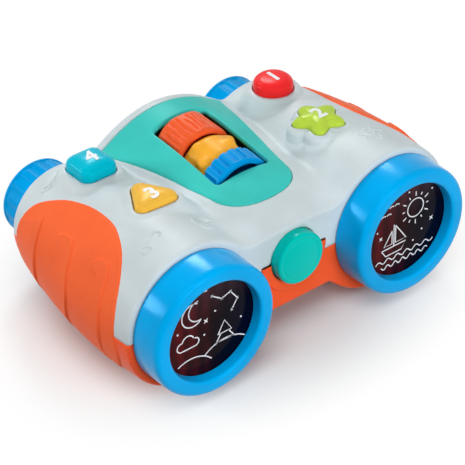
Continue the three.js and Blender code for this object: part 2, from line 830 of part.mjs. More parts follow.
function makeSpeaker() {
  const seat = -speakerDrop;
  const profile = [
    [0, -speakerConeDepth], [speakerConeRadius, -speakerConeDepth], [speakerRadius - boxWall - seatGap, 0],
    [speakerRadius, 0], [speakerRadius, speakerFlange], [magnetRadius, magnetFoot], [magnetRadius, magnetTop],
    [0, magnetTop],
  ];
  const lathe = new THREE.LatheGeometry(profile.map(([r, h]) => new THREE.Vector2(r, h)), midRound);
  return solid(lathe.rotateX(Math.PI / 2).translate(barrelAxis, speakerAt, seat));
}

// Lens ends

const windowFront = -lensReach + windowDepth;
const windowRear = windowFront + windowThickness;
const cupFront = windowRear + seatGap;
const cupRear = cupFront + cupFlange;
const cupTail = cupFront + cupLength;

function makeLensRing() {
  const flangeFront = wall + seatGap;
  const flangeRear = flangeFront + lensFlange;
  const profile = [
    [lensMouthRadius, windowFront - seatGap], [lensMouthRadius, lensLipRound - lensReach],
    [lensMouthRadius + lensLipRound * 0.3, lensLipRound * 0.3 - lensReach],
    [lensMouthRadius + lensLipRound, -lensReach], [lensFrontRadius - lensLip, -lensReach],
    [lensFrontRadius - lensLip * 0.3, lensLip * 0.3 - lensReach], [lensFrontRadius, lensLip - lensReach],
    [lensRadius, -lensStraight], [lensRadius, -seatGap],
    [lensNeckRadius, -seatGap], [lensNeckRadius, flangeFront], [lensFlangeRadius, flangeFront],
    [lensFlangeRadius, flangeRear], [lensBoreRadius, flangeRear], [lensBoreRadius, windowFront - seatGap],
    [lensMouthRadius, windowFront - seatGap],
  ];
  return turned(profile);
}

function makeLensWindow() {
  return rod(0, 0, lensBoreRadius - seatGap, windowFront, windowRear);
}

function makeLightCup() {
  const profile = [
    [cupMouthRadius, cupFront], [lensBoreRadius - seatGap, cupFront], [lensBoreRadius - seatGap, cupRear],
    [cupMouthRadius + cupSkin, cupRear], [cupTailRadius + cupSkin, cupTail], [lampHoleRadius, cupTail],
    [lampHoleRadius, cupTail - cupSkin], [cupTailRadius, cupTail - cupSkin], [cupMouthRadius, cupFront],
  ];
  return turned(profile, midRound);
}

function makeLampBoard() {
  const front = cupTail + seatGap;
  const tip = front - lampLength;
  const profile = [
    [0, tip], [lampRadius * 0.7, tip + lampRadius * 0.3], [lampRadius, tip + lampRadius], [lampRadius, front],
    [lampBoardRadius, front], [lampBoardRadius, front + boardThickness], [0, front + boardThickness],
  ];
  return turned(profile, smallRound);
}

// Eyepieces

const eyeEnd = bodyLength + eyeReach;
const eyeSeatAt = eyeEnd - eyeCupDepth;

function makeEyepiece() {
  const flangeRear = bodyLength - wall - seatGap;
  const collarFront = bodyLength + seatGap;
  const collarRear = collarFront + eyeCollar;
  const core = eyeRadius - eyeFluteDepth;
  const shelf = eyeSeatAt - windowThickness - seatGap;
  const hull = turned([
    [0, flangeRear - eyeFlange], [eyeFlangeRadius, flangeRear - eyeFlange], [eyeFlangeRadius, flangeRear],
    [eyeNeckRadius, flangeRear], [eyeNeckRadius, collarFront], [eyeCollarRadius, collarFront],
    [eyeCollarRadius, collarRear], [core, collarRear + eyeRimRound], [core, eyeEnd - eyeRim],
    [eyeRadius - eyeRimStep, eyeEnd - eyeRim], [eyeRadius - eyeRimStep, eyeEnd - eyeRimRound],
    [eyeRadius - eyeRimStep - eyeRimRound, eyeEnd], [0, eyeEnd],
  ], midRound);
  const flutes = prismY(
    polarOutline((t) => eyeRadius - eyeFluteDepth / 2 * (1 + Math.cos(eyeFluteCount * t)), eyeFluteCount * 3),
    collarRear - sink, eyeEnd - eyeRim + sink);
  const bore = turned([
    [0, flangeRear - eyeFlange - sink], [eyeBoreRadius, flangeRear - eyeFlange - sink],
    [eyeBoreRadius, shelf], [eyeSeatRadius, shelf], [eyeSeatRadius, eyeSeatAt],
    [eyeMouthRadius, eyeEnd], [eyeMouthRadius, eyeEnd + sink], [0, eyeEnd + sink],
  ], midRound);
  return hull.add(flutes).subtract(bore);
}

function makeEyeWindow() {
  return rod(0, 0, eyeSeatRadius - seatGap, eyeSeatAt - windowThickness, eyeSeatAt, midRound);
}

// Battery door, batteries and contacts

function makeBatteryDoor() {
  const plate = box(-bayHalf, bayHalf, doorFront, doorRear, -floorDepth, doorTop);
  return cutAll(plate, doorScrewPlaces.flatMap((y) => [
    post(0, y, screwHeadRadius + seatGap, -far, -floorDepth + screwHeadHeight + seatGap),
    post(0, y, screwRadius + seatGap, -far, far),
  ]));
}

function makeBattery(index) {
  const x = (index - (batteryCount - 1) / 2) * batteryPitch;
  const z = doorTop + seatGap + batteryRadius;
  const shoulder = batteryLength - batteryNub;
  const profile = [
    [0, 0], [batteryRadius, 0], [batteryRadius, shoulder], [batteryNubRadius, shoulder],
    [batteryNubRadius, batteryLength], [0, batteryLength],
  ];
  return turned(profile, midRound / 2).translate([x, batteryAt - batteryLength / 2, z]);
}

function makeContact(y) {
  const half = bayHalf - seatGap;
  return box(-half, half, y, y + contactThickness, doorTop + seatGap, bayTop - seatGap);
}

function makeScrew(headFoot, reach) {
  const profile = [
    [0, headFoot], [screwHeadRadius, headFoot], [screwHeadRadius, headFoot + screwHeadHeight],
    [screwRadius, headFoot + screwHeadHeight], [screwRadius, reach], [0, reach],
  ];
  const lathe = new THREE.LatheGeometry(profile.map(([r, h]) => new THREE.Vector2(r, h)), smallRound);
  return solid(lathe.rotateX(Math.PI / 2));
}

// Power switch

function makeSwitchKnob() {
  const inside = -floorDepth + wall + seatGap;
  const knob = box(-knobLength / 2, knobLength / 2, knobAt - knobWidth / 2, knobAt + knobWidth / 2,
    -floorDepth - knobProud, inside + sink);
  const halfLength = knobLength / 2 + knobPlateMargin;
  const halfWidth = knobWidth / 2 + knobPlateMargin;
  const plate = box(-halfLength, halfLength, knobAt - halfWidth, knobAt + halfWidth,
    inside, inside + knobPlate);
  return knob.add(plate);
}

function makeSwitchBody() {
  const foot = -floorDepth + wall + 2 * seatGap + knobPlate;
  const half = knobLength / 2 + knobTravel + knobPlateMargin;
  return box(-half, half, knobAt - switchBody / 2, knobAt + switchBody / 2, foot, foot + switchBody);
}

// Assembly

function plastic(color, roughness = 0.35) {
  return new THREE.MeshStandardMaterial({ color, roughness, metalness: 0 });
}

function metal(color, roughness = 0.35) {
  return new THREE.MeshStandardMaterial({ color, roughness, metalness: 1 });
}

function piece(parent, name, body, material) {
  const mesh = new THREE.Mesh(geometryOf(body), material);
  mesh.name = name;
  parent.add(mesh);
  return mesh;
}

const colours = {
  white: 0xe4e7e8, orange: 0xf7683a, teal: 0x12bdb2, blue: 0x0aa4ee, red: 0xf23b44, lime: 0xb6d433,
  yellow: 0xf9be2e, cyan: 0x35bfd8, board: 0x2c6b3c, smoke: 0x1a1014, rubber: 0xd8d8d2, black: 0x1d1d1f,
};
const buttonColours = {
  round: colours.red, star: colours.lime, triangle: colours.yellow, square: colours.cyan,
};
const rollerColours = { front: colours.blue, middle: colours.yellow, rear: colours.orange };
const sideName = (side) => (side < 0 ? 'left' : 'right');

const body = new THREE.Group();
piece(body, 'upper_casing', makeUpperCasing(), plastic(colours.white));
piece(body, 'lower_casing', makeLowerCasing(), plastic(colours.orange));
piece(body, 'top_panel', makeTopPanel(), plastic(colours.teal));
for (const side of sides) {
  const name = sideName(side);
  piece(body, `${name}_grip`, makeGrip(side), plastic(colours.orange, 0.45));
  piece(body, `${name}_button_board`, makeButtonBoard(side), plastic(colours.board, 0.5));
  const barrel = new THREE.Group();
  barrel.position.x = side * barrelAxis;
  piece(barrel, `${name}_lens_ring`, makeLensRing(), plastic(colours.blue, 0.2));
  piece(barrel, `${name}_lens_window`, makeLensWindow(), plastic(colours.smoke, 0.1));
  piece(barrel, `${name}_light_cup`, makeLightCup(), plastic(colours.white, 0.3));
  piece(barrel, `${name}_lamp_board`, makeLampBoard(), plastic(colours.board, 0.5));
  piece(barrel, `${name}_eyepiece`, makeEyepiece(), plastic(colours.blue, 0.3));
  piece(barrel, `${name}_eyepiece_window`, makeEyeWindow(), plastic(colours.smoke, 0.1));
  body.add(barrel);
}

piece(body, 'roller_cradle', makeCradle(), plastic(colours.black, 0.5));
const spindle = new THREE.Group();
spindle.position.set(0, axleHeightAt, axleHeight);
spindle.rotation.x = axleSlope;
const axleStart = cradleFront + seatGap - axleHeightAt;
const axleEnd = cradleRear - seatGap - axleHeightAt;
piece(spindle, 'roller_axle', rod(0, 0, axleRadius, axleStart, axleEnd, smallRound), metal(0xb8bcc0));
for (const { name, from, length } of rollerStack) {
  piece(spindle, `${name}_roller`, makeRoller(name, from, length), plastic(rollerColours[name]));
}
body.add(spindle);

for (const [name, plan] of Object.entries(buttonPlan)) {
  piece(body, `${name}_button`, makeButton(plan), plastic(buttonColours[name], 0.25));
  piece(body, `${name}_button_dome`, makeButtonDome(plan), plastic(colours.rubber, 0.7));
}
piece(body, 'front_button', makeFrontButton(), plastic(colours.teal, 0.25));
const pushDomeFoot = pushBoardFront - seatGap;
const pushDome = turned(domeProfile(pushDomeFoot, pushDomeFoot - domeHeight), smallRound);
piece(body, 'front_button_dome', pushDome.translate([0, 0, pushHeight]), plastic(colours.rubber, 0.7));
const pushBoardHalf = pushRadius - pushBoardInset;
const pushBoard = box(-pushBoardHalf, pushBoardHalf, pushBoardFront, pushBoardRear,
  -floorDepth + wall + seatGap, pushHeight + pushBoardHalf);
piece(body, 'front_button_board', pushBoard, plastic(colours.board, 0.5));
piece(body, 'main_board', makeMainBoard(), plastic(colours.board, 0.5));
piece(body, 'speaker', makeSpeaker(), metal(0x50535a, 0.5));

for (let i = 0; i < batteryCount; i += 1) {
  piece(body, `battery_${i + 1}`, makeBattery(i), metal(0x8a8f96, 0.4));
}
piece(body, 'front_battery_contact', makeContact(bayFront + seatGap), metal(0xc9ccd0, 0.3));
piece(body, 'rear_battery_contact', makeContact(bayRear - seatGap - contactThickness), metal(0xc9ccd0, 0.3));
piece(body, 'battery_door', makeBatteryDoor(), plastic(colours.orange));
doorScrewPlaces.forEach((y, i) => {
  const screw = piece(body, `battery_door_screw_${i + 1}`,
    makeScrew(-floorDepth, doorTop + doorScrewReach - seatGap), metal(0xb8bcc0));
  screw.position.y = y;
});
piece(body, 'power_switch', makeSwitchBody(), plastic(colours.black, 0.5));
piece(body, 'power_switch_knob', makeSwitchKnob(), plastic(colours.black, 0.4));
screwPlaces.forEach(({ x, y }, i) => {
  const screw = piece(body, `casing_screw_${i + 1}`,
    makeScrew(-screwHeadDrop - screwHeadHeight, screwReach), metal(0xb8bcc0));
  screw.position.set(x, y, 0);
});

// Origin under the middle of the whole object, on the surface it stands on
const binoculars = new THREE.Group();
body.position.set(0, (lensReach - bodyLength - eyeReach) / 2, standHeight);
binoculars.add(body);
binoculars.updateMatrixWorld(true);

export default binoculars;
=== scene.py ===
import json
import math

import bmesh
import bpy
import numpy as np
from mathutils import Matrix, Vector


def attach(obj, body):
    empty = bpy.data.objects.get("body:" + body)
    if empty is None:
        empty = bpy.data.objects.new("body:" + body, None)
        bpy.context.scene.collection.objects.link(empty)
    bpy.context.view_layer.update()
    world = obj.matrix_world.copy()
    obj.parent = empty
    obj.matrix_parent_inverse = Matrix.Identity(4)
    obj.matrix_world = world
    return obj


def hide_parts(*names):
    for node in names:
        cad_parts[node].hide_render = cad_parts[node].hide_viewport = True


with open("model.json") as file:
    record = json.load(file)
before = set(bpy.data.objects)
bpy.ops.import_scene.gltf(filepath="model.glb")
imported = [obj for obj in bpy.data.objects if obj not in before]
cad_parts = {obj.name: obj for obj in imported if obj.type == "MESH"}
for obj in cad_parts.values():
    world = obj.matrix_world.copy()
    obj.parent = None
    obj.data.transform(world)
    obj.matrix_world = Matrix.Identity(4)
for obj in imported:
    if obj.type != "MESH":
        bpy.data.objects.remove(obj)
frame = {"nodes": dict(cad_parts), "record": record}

bl_info = {
    "name": "Toy binoculars",
    "version": (1, 0, 0),
    "blender": (4, 5, 0),
    "location": "View3D > Sidebar > Binoculars",
    "description": "Dresses the packed toy binoculars with moulded pieces and plastics",
    "category": "Object",
}

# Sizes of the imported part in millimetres: x across, y from the front face to the rear, z up from the barrel axes
MM = 0.001
SHARP_ANGLE = math.radians(38)
AXIS_HEIGHT = 35.5
PLACE = Matrix.Translation((0, -49.5 * MM, AXIS_HEIGHT * MM)) @ Matrix.Scale(MM, 4)
SPLIT = 0.15
BODY_LENGTH = 98.5
BARREL_AXIS = 54
BARREL_PEAK = 34.2
BARREL_PEAK_AT = 23
BARREL_SWELL = 278
BARREL_ROUND = 34
UPPER_FULLNESS = 2
LOWER_FULLNESS = 2.2
CREST_HEIGHT = 35.9
CREST_FALL = 15.2
CREST_FRONT_RADIUS = 170
CREST_REAR_RADIUS = 44
CREST_BLEND = 6
FLOOR_DEPTH = 17.5
FLOOR_BLEND = 12
FRONT_FILLET = 1.4
REAR_FILLET = 2.5
SEAT_GAP = 0.3
SLIDE_GAP = 0.4
PANEL_PROUD = 0.8
PANEL_ROUND = 1.3
PANEL_SKIRT = 1.6
PANEL_WALL = 0.6
GRIP_LIFT = 1.19
GRIP_ROUND = 1.2
GRIP_WALL = 0.5
ROLLER_RADIUS = 15.9
AXLE_AT = Vector((0, 60, 21.9))
AXLE_TURN = math.atan(0.09)
LENS_RADIUS = 23
PRINT_FACE = -10.66
PRINT_REACH = 22.8
EYE_END = 114.99
PUSH_HEIGHT = 5.5
PUSH_HOLE = 12.6
SADDLE_RADIUS = 17.6
NUMERAL_PROUD = 0.2
NUMERAL_SIZE = 10.5
NUMERAL_WEIGHT = 0.028
LOBE_RADIUS = 6.8
LOBE_OUT = 7.6
MARK_RADIUS = 0.48
FOOT_PLACES = {"front": 14, "rear": 76}
GRIP_EDGE = [
    (22, -31), (14, -24), (8, -12), (8.6, 0), (9.4, 12), (12.9, 22.5), (20.2, 29.4), (31, 32.7), (43, 33.1),
    (58, 31.4), (73, 27.2), (86, 19.2), (92, 6), (91, -8), (83, -22), (66, -30), (44, -32.4),
]
GRIP_HOOKS = [
    [(75.5, 45.5), (72.4, 37.3), (71.4, 27), (71.1, 16.2), (71, 4), (72.3, -15.9)],
    [(59.9, 34.3), (58, 39), (54.9, 42.4), (51.1, 43), (47.3, 40.5), (45.1, 33), (44, 24), (42.9, 11.9),
     (42.7, -0.1), (45.8, -21.3)],
    [(32.5, 30.5), (31.6, 38), (28.7, 43.5), (24.8, 45.2), (21.8, 42.4), (19.7, 35.2), (19, 26.1),
     (18.5, 15.5), (18.3, 2.4), (19.3, -13.8)],
]
SIDES = {"left": -1, "right": 1}


# Casing surface

def barrel_radius(y, inset):
    return BARREL_PEAK - (y - BARREL_PEAK_AT) ** 2 / (2 * BARREL_SWELL) - inset


def barrel_rise(x, y, inset, fullness):
    radius = barrel_radius(y, inset)
    aside = min(1, abs(abs(x) - BARREL_AXIS) / radius)
    return radius * (1 - aside ** fullness) ** (1 / fullness)


def soft_max(a, b, width):
    return (a + b + math.hypot(a - b, width)) / 2


def near_max(a, b, width):
    """The larger of two heights, with a fillet where they come within width of each other."""
    return max(a, b) + max(0, width - abs(a - b)) ** 2 / (4 * width)


def blend_fade(x):
    return 1 - min(1, abs(x) / BARREL_AXIS) ** 4


def ease(value, start, end):
    share = min(1, max(0, (value - start) / (end - start)))
    return share * share * (3 - 2 * share)


def top_height(x, y, inset=0):
    barrel = barrel_rise(x, y, inset, UPPER_FULLNESS)
    if abs(x) >= BARREL_AXIS:
        return barrel
    crest = CREST_HEIGHT - CREST_FALL * max(0, 1 - y / BODY_LENGTH) ** 2.5
    settled = ease(y, 12, 45)
    curve = (1 - settled) / CREST_FRONT_RADIUS + settled / CREST_REAR_RADIUS
    return soft_max(crest - inset - x * x * curve / 2, barrel, CREST_BLEND * blend_fade(x))


def bottom_depth(x, y, inset=0):
    barrel = barrel_rise(x, y, inset, LOWER_FULLNESS)
    if abs(x) >= BARREL_AXIS:
        return barrel
    return soft_max(FLOOR_DEPTH - inset, barrel, FLOOR_BLEND * blend_fade(x))


# Outlines, each as a distance that is negative inside

def curve_points(corners, steps, closed):
    """Points along a smooth curve through the corners."""
    count = len(corners)
    spans = count if closed else count - 1
    points = []
    for i in range(spans):
        around = [Vector(corners[(i + k) % count] if closed else corners[min(max(i + k, 0), count - 1)])
                  for k in (-1, 0, 1, 2)]
        for step in range(steps):
            t = step / steps
            a, b, c, d = around
            points.append(0.5 * (2 * b + (c - a) * t + (2 * a - 5 * b + 4 * c - d) * t ** 2
                                 + (3 * b - a - 3 * c + d) * t ** 3))
    if not closed:
        points.append(Vector(corners[-1]))
    return points


def quad_points(start, control, end, steps=12):
    """Points along a quadratic curve, without its end."""
    a, b, c = Vector(start), Vector(control), Vector(end)
    return [a * (1 - t) ** 2 + b * 2 * t * (1 - t) + c * t * t for t in (i / steps for i in range(steps))]


def spoke(x, z, radius, degrees):
    """The end of a spoke from a middle."""
    turn = math.radians(degrees)
    return x + radius * math.cos(turn), z + radius * math.sin(turn)


def arc(x, z, radius, start, end, steps=24):
    """Points along a part of a circle."""
    return [spoke(x, z, radius, start + (end - start) * i / steps) for i in range(steps + 1)]


class Trail:
    """A line through points, and the part of it that is nearest to a place."""

    def __init__(self, points, closed):
        ends = np.array([tuple(p) for p in points])
        self.a, self.b = (ends, np.roll(ends, -1, 0)) if closed else (ends[:-1], ends[1:])
        self.edge = self.b - self.a
        self.square = (self.edge ** 2).sum(1)

    def nearest(self, x, y):
        """The number of the nearest span, the share along it and the distance."""
        away = np.array((x, y)) - self.a
        share = np.clip((away * self.edge).sum(1) / self.square, 0, 1)
        gap = ((away - self.edge * share[:, None]) ** 2).sum(1)
        span = int(gap.argmin())
        return span, share[span], math.sqrt(gap[span])


def line_distance(points):
    """A function of the distance from a closed line through points, negative inside."""
    trail = Trail(points, True)
    a, b, edge = trail.a, trail.b, trail.edge

    def distance(x, y):
        near = trail.nearest(x, y)[2]
        crossed = (a[:, 1] > y) != (b[:, 1] > y)
        reach = a[crossed, 0] + (y - a[crossed, 1]) / edge[crossed, 1] * edge[crossed, 0]
        return -near if (reach > x).sum() % 2 else near

    return distance


def panel_outline():
    right = quad_points((0, 15.5), (19.5, 15.5), (20.5, 30.5)) + quad_points((20.5, 30.5), (27, 66), (34, 93))
    right.append(Vector((34, 93)))
    return right + [Vector((-p.x, p.y)) for p in reversed(right[1:])]


def rounded_box(x, y, half_x, half_y, corner):
    aside, along = abs(x) - half_x + corner, abs(y) - half_y + corner
    return math.hypot(max(aside, 0), max(along, 0)) + min(max(aside, along), 0) - corner


def round_outline(x, y):
    return math.hypot(x, y) - 9.2


def square_outline(x, y):
    return rounded_box(x, y, 8.8, 8.8, 4)


def star_outline(x, y):
    turn = 5 * (math.atan2(y, x) - math.pi / 2)
    edge = 10.1 + 2 * math.cos(turn)
    slope = 10 * math.sin(turn) / edge
    return (math.hypot(x, y) - edge) / math.hypot(1, slope)


triangle_core = line_distance([(8 * math.cos(a), 8 * math.sin(a))
                               for a in (math.pi / 2 + k * math.tau / 3 for k in range(3))])


def triangle_outline(x, y):
    return triangle_core(x, y) - 3.4


panel_edge = line_distance(panel_outline())
grip_edge = line_distance(curve_points(GRIP_EDGE, 10, True))


def window_edge(x, y):
    return rounded_box(x, y - 56.285, 14.2, 23.215, 2.5)


class ButtonPlan:
    """Where a push button stands on the casing, its outline and the shape of its boss."""

    def __init__(self, x, y, proud, cap_proud, outline, numeral, boss):
        self.x, self.y, self.outline, self.numeral = x, y, outline, numeral
        self.rim, self.bend, self.slope, self.fillet = boss
        self.boss_top = top_height(x, y) + proud
        self.cap_top = self.boss_top + cap_proud - NUMERAL_PROUD

    def distance(self, x, y):
        return self.outline(x - self.x, y - self.y)

    def around(self, turn, radius, z):
        return Vector((self.x + radius * math.cos(turn), self.y + radius * math.sin(turn), z))

    def edge(self, turn):
        """The outline's radius in one direction, found by halving."""
        low, high = 0, 20
        for _ in range(24):
            middle = (low + high) / 2
            inside = self.outline(middle * math.cos(turn), middle * math.sin(turn)) < 0
            low, high = (middle, high) if inside else (low, middle)
        return low


BUTTONS = {
    "round": ButtonPlan(50.3, 74.4, 4.1, 6.1, round_outline, "1", (0.9, 3, 2.2, 1.6)),
    "star": ButtonPlan(45.8, 38, 2.1, 4.3, star_outline, "2", (1, 2, 2, 1)),
    "triangle": ButtonPlan(-45.8, 38, 1.2, 4.2, triangle_outline, "3", (0.8, 1.6, 1.2, 2.4)),
    "square": ButtonPlan(-50.3, 74.4, 3.4, 6.8, square_outline, "4", (0.9, 2.6, 1.5, 2.4)),
}

# Distances from a button past which its boss and its hole have ended
BOSS_REACH = 26
HOLE_REACH = 16


def boss_drop(plan, away):
    """How far a boss has fallen at a distance from its hole: a flat rim, a rounded edge and a straight side."""
    past = max(0, away - plan.rim)
    bent = min(past, plan.bend)
    return plan.slope * (bent * bent / (2 * plan.bend) + past - bent)


def lobe_edge(turn, radius):
    """The outline of five round lobes, one under each tip of the star, as a radius in one direction."""
    step = math.tau / 5
    aside = (turn - math.pi / 2 + step / 2) % step - step / 2
    return LOBE_OUT * math.cos(aside) + math.sqrt(max(0, radius ** 2 - (LOBE_OUT * math.sin(aside)) ** 2))


def collar_foot(plan, x, y, height):
    """How far the casing rises in a fillet to the star's collar."""
    reach = min(2, 0.45 * max(0, plan.boss_top - height))
    aside, along = x - plan.x, y - plan.y
    gap = max(0, math.hypot(aside, along) - lobe_edge(math.atan2(along, aside), LOBE_RADIUS))
    return reach - math.sqrt(reach ** 2 - (reach - gap) ** 2) if gap < reach else 0


def upper_height(x, y, inset):
    height = top_height(x, y, inset)
    for plan in BUTTONS.values():
        if math.hypot(x - plan.x, y - plan.y) > BOSS_REACH:
            continue
        if plan.outline is star_outline:
            height += collar_foot(plan, x, y, height)
        else:
            side = plan.boss_top - boss_drop(plan, plan.distance(x, y) - SLIDE_GAP)
            height = near_max(height, side, plan.fillet)
    return height


# Mesh helpers

def at(table, place):
    """The entry of a list of tuples at a broken index."""
    low = min(max(int(place), 0), len(table) - 2)
    share = place - low
    return [a + (b - a) * share for a, b in zip(table[low], table[low + 1])]


def steps_between(start, end, cell):
    count = max(1, round(abs(end - start) / cell))
    return [start + (end - start) * i / count for i in range(count)]


def index_grid(columns, rows):
    """A flat grid whose corners are counted from nought in x and y."""
    bm = bmesh.new()
    bmesh.ops.create_grid(bm, x_segments=columns - 1, y_segments=rows - 1, size=0.5)
    bmesh.ops.translate(bm, vec=(0.5, 0.5, 0), verts=bm.verts)
    bmesh.ops.scale(bm, vec=(columns - 1, rows - 1, 1), verts=bm.verts)
    return bm


def cut_grid(bm, depth):
    """Takes away the part of a flat grid where depth is positive, and leaves a smooth edge at nought."""
    value = {v: depth(v.co.x, v.co.y) for v in bm.verts}
    moves = {}
    for edge in bm.edges:
        a, b = edge.verts
        if value[a] * value[b] < 0:
            share = value[a] / (value[a] - value[b])
            near, step = (a, share) if share < 0.5 else (b, 1 - share)
            if near not in moves or step < moves[near][0]:
                moves[near] = (step, a.co.lerp(b.co, share))
    for vert, (_, spot) in moves.items():
        vert.co = spot
        value[vert] = 0
    for face in bm.faces[:]:
        marks = [value[v] for v in face.verts]
        pair = [v for v in face.verts if value[v] == 0]
        if len(pair) == 2 and min(marks) < 0 < max(marks):
            bmesh.utils.face_split(face, *pair)

    def outside(face):
        marks = [value[v] for v in face.verts]
        middle = face.calc_center_median()
        return max(marks) > 0 or (max(marks) == min(marks) == 0 and depth(middle.x, middle.y) > 0)

    bmesh.ops.delete(bm, geom=[face for face in bm.faces if outside(face)], context="FACES")


def bend_grid(bm, spot):
    """Moves each corner of a flat grid to its place on a surface."""
    for vert in bm.verts:
        vert.co = spot(vert.co.x, vert.co.y)


def cut_sheet(across, along, cell, inside, spot):
    """A sheet over two ranges, kept where inside is positive, with each corner put in its place."""
    columns, rows = ([(step,) for step in (*steps_between(*ends, cell), ends[1])] for ends in (across, along))
    bm = index_grid(len(columns), len(rows))

    def flat(u, v):
        return at(columns, u)[0], at(rows, v)[0]

    cut_grid(bm, lambda u, v: -inside(*flat(u, v)))
    bend_grid(bm, lambda u, v: spot(*flat(u, v)))
    return bm


def edge_drop(depth, radius):
    """How far a rounded edge has fallen at a depth inside its outline."""
    short = max(0, radius - max(0, depth))
    return radius - math.sqrt(max(0, radius ** 2 - short ** 2))


def soft_profile(corners, steps=5):
    """A line of points through corners given as (r, y, rounding)."""
    points = []
    for i, (r, y, rounding) in enumerate(corners):
        here = Vector((r, y))
        if rounding == 0 or i in (0, len(corners) - 1):
            points.append(here)
            continue
        ends = []
        for other in (corners[i - 1], corners[i + 1]):
            way = Vector(other[:2]) - here
            ends.append(here + way.normalized() * min(rounding, way.length * 0.48))
        points += quad_points(ends[0], here, ends[1], steps) + [ends[1]]
    return points


def fine_profile(corners, steps, span):
    """A soft profile with its long spans divided."""
    outer = soft_profile(corners, steps)
    profile = []
    for a, b in zip(outer, outer[1:]):
        parts = max(1, round((b - a).length / span))
        profile += [a.lerp(b, i / parts) for i in range(parts)]
    return profile + [outer[-1]]


def turned(profile, centre=(0, 0, 0), steps=96, angle=math.tau):
    """A profile of (r, y) points spun round an axis along y."""
    bm = bmesh.new()
    verts = [bm.verts.new((centre[0] + r, centre[1] + y, centre[2])) for r, y in profile]
    edges = [bm.edges.new(pair) for pair in zip(verts, verts[1:])]
    bmesh.ops.spin(bm, geom=verts + edges, cent=centre, axis=(0, 1, 0), angle=angle, steps=steps,
                   use_merge=angle == math.tau)
    return bm


def lofted(rows, around, spot):
    """Rows carried right round an axis: spot places a row at a turn."""
    bm = index_grid(around + 1, len(rows))
    bend_grid(bm, lambda u, v: spot(math.tau * u / around, rows[min(round(v), len(rows) - 1)]))
    return bm


def curve_mesh(curve):
    """The mesh of a curve or a text, which is then taken away."""
    holder = bpy.data.objects.new("shape", curve)
    bm = bmesh.new()
    bm.from_mesh(holder.to_mesh())
    holder.to_mesh_clear()
    bpy.data.objects.remove(holder)
    bpy.data.curves.remove(curve)
    return bm


def add_piece(bm, name, body, finish, nodes=(), wall=0):
    """Makes a finished piece of a mesh that is in millimetres, and gives a skin its inner wall."""
    bmesh.ops.remove_doubles(bm, verts=bm.verts, dist=1e-4)
    bmesh.ops.dissolve_degenerate(bm, edges=bm.edges, dist=1e-5)
    bmesh.ops.recalc_face_normals(bm, faces=bm.faces)
    for face in bm.faces:
        face.smooth = True
    for edge in bm.edges:
        edge.smooth = len(edge.link_faces) != 2 or edge.calc_face_angle() < SHARP_ANGLE
    bmesh.ops.transform(bm, matrix=PLACE, verts=bm.verts)
    mesh = bpy.data.meshes.new(name)
    bm.to_mesh(mesh)
    bm.free()
    mesh.materials.append(finish)
    piece = bpy.data.objects.new(name, mesh)
    bpy.context.scene.collection.objects.link(piece)
    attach(piece, body)
    if nodes:
        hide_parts(*nodes)
    if wall:
        piece.modifiers.new("Wall", "SOLIDIFY").thickness = wall * MM


# Finishes

class Field:
    """A shader socket that takes part in Python arithmetic."""

    def __init__(self, paint, socket):
        self.paint = paint
        self.socket = socket

    def _math(self, operation, *values):
        return self.paint.add("ShaderNodeMath", {"operation": operation}, dict(enumerate(values)))

    def __add__(self, other):
        return self._math("ADD", self, other)

    __radd__ = __add__

    def __sub__(self, other):
        return self._math("SUBTRACT", self, other)

    def __rsub__(self, other):
        return self._math("SUBTRACT", other, self)

    def __mul__(self, other):
        return self._math("MULTIPLY", self, other)

    __rmul__ = __mul__

    def most(self, other):
        return self._math("MAXIMUM", self, other)

    def between(self, low, high):
        """Nought below low, one above high and a smooth step from one to the other."""
        return self.paint.add("ShaderNodeMapRange", {"interpolation_type": "SMOOTHSTEP"},
                              {"Value": self, "From Min": low, "From Max": high})


class Paint:
    """The nodes of a material or a world, and the one way that nodes are added to them."""

    def __init__(self, owner):
        owner.use_nodes = True
        self.owner = owner
        self.tree = owner.node_tree
        self.end = next(node for node in self.tree.nodes if node.type.startswith("OUTPUT"))
        self.shader = self.end.inputs["Surface"].links[0].from_node

    def add(self, kind, settings=None, inputs=None, output=0):
        node = self.tree.nodes.new(kind)
        for key, value in (settings or {}).items():
            setattr(node, key, value)
        for key, value in (inputs or {}).items():
            self.feed(node.inputs[key], value)
        return Field(self, node.outputs[output])

    def feed(self, socket, value):
        if isinstance(value, Field):
            self.tree.links.new(value.socket, socket)
        else:
            socket.default_value = value

    def set(self, **values):
        for key, value in values.items():
            self.feed(self.shader.inputs[key.replace("_", " ")], value)

    def spot(self):
        return self.add("ShaderNodeTexCoord", output="Object")

    def along(self, axis):
        return self.add("ShaderNodeSeparateXYZ", {}, {"Vector": self.spot()}, axis)

    def noise(self, size, detail=2):
        """Soft spots of about a size in metres, round a half."""
        return self.add("ShaderNodeTexNoise", {}, {"Vector": self.spot(), "Scale": 1 / size, "Detail": detail})

    def mix(self, low, high, share):
        return self.add("ShaderNodeMix", {"data_type": "RGBA"}, {0: share, 6: low, 7: high}, 2)

    def bump(self, height, distance):
        return self.add("ShaderNodeBump", {}, {"Height": height, "Distance": distance})

    def white_to_eye(self):
        """One for camera, glossy and transmission rays, and nought for the rays that light the object."""
        camera, glossy, through = (self.add("ShaderNodeLightPath", output=f"Is {ray} Ray")
                                   for ray in ("Camera", "Glossy", "Transmission"))
        return camera.most(glossy).most(through)

    def blend(self, low, high, share):
        """Ends the tree with two shaders in shares."""
        self.feed(self.end.inputs["Surface"], self.add("ShaderNodeMixShader", {}, {0: share, 1: low, 2: high}))


def srgb(red, green, blue):
    """A colour as it is seen on a screen, 0 to 255, turned to Blender's linear values."""
    return [c / 255 / 12.92 if c < 11 else ((c / 255 + 0.055) / 1.055) ** 2.4 for c in (red, green, blue)]


def tinted(colour, amount):
    return (*[min(1, c * amount) for c in colour], 1)


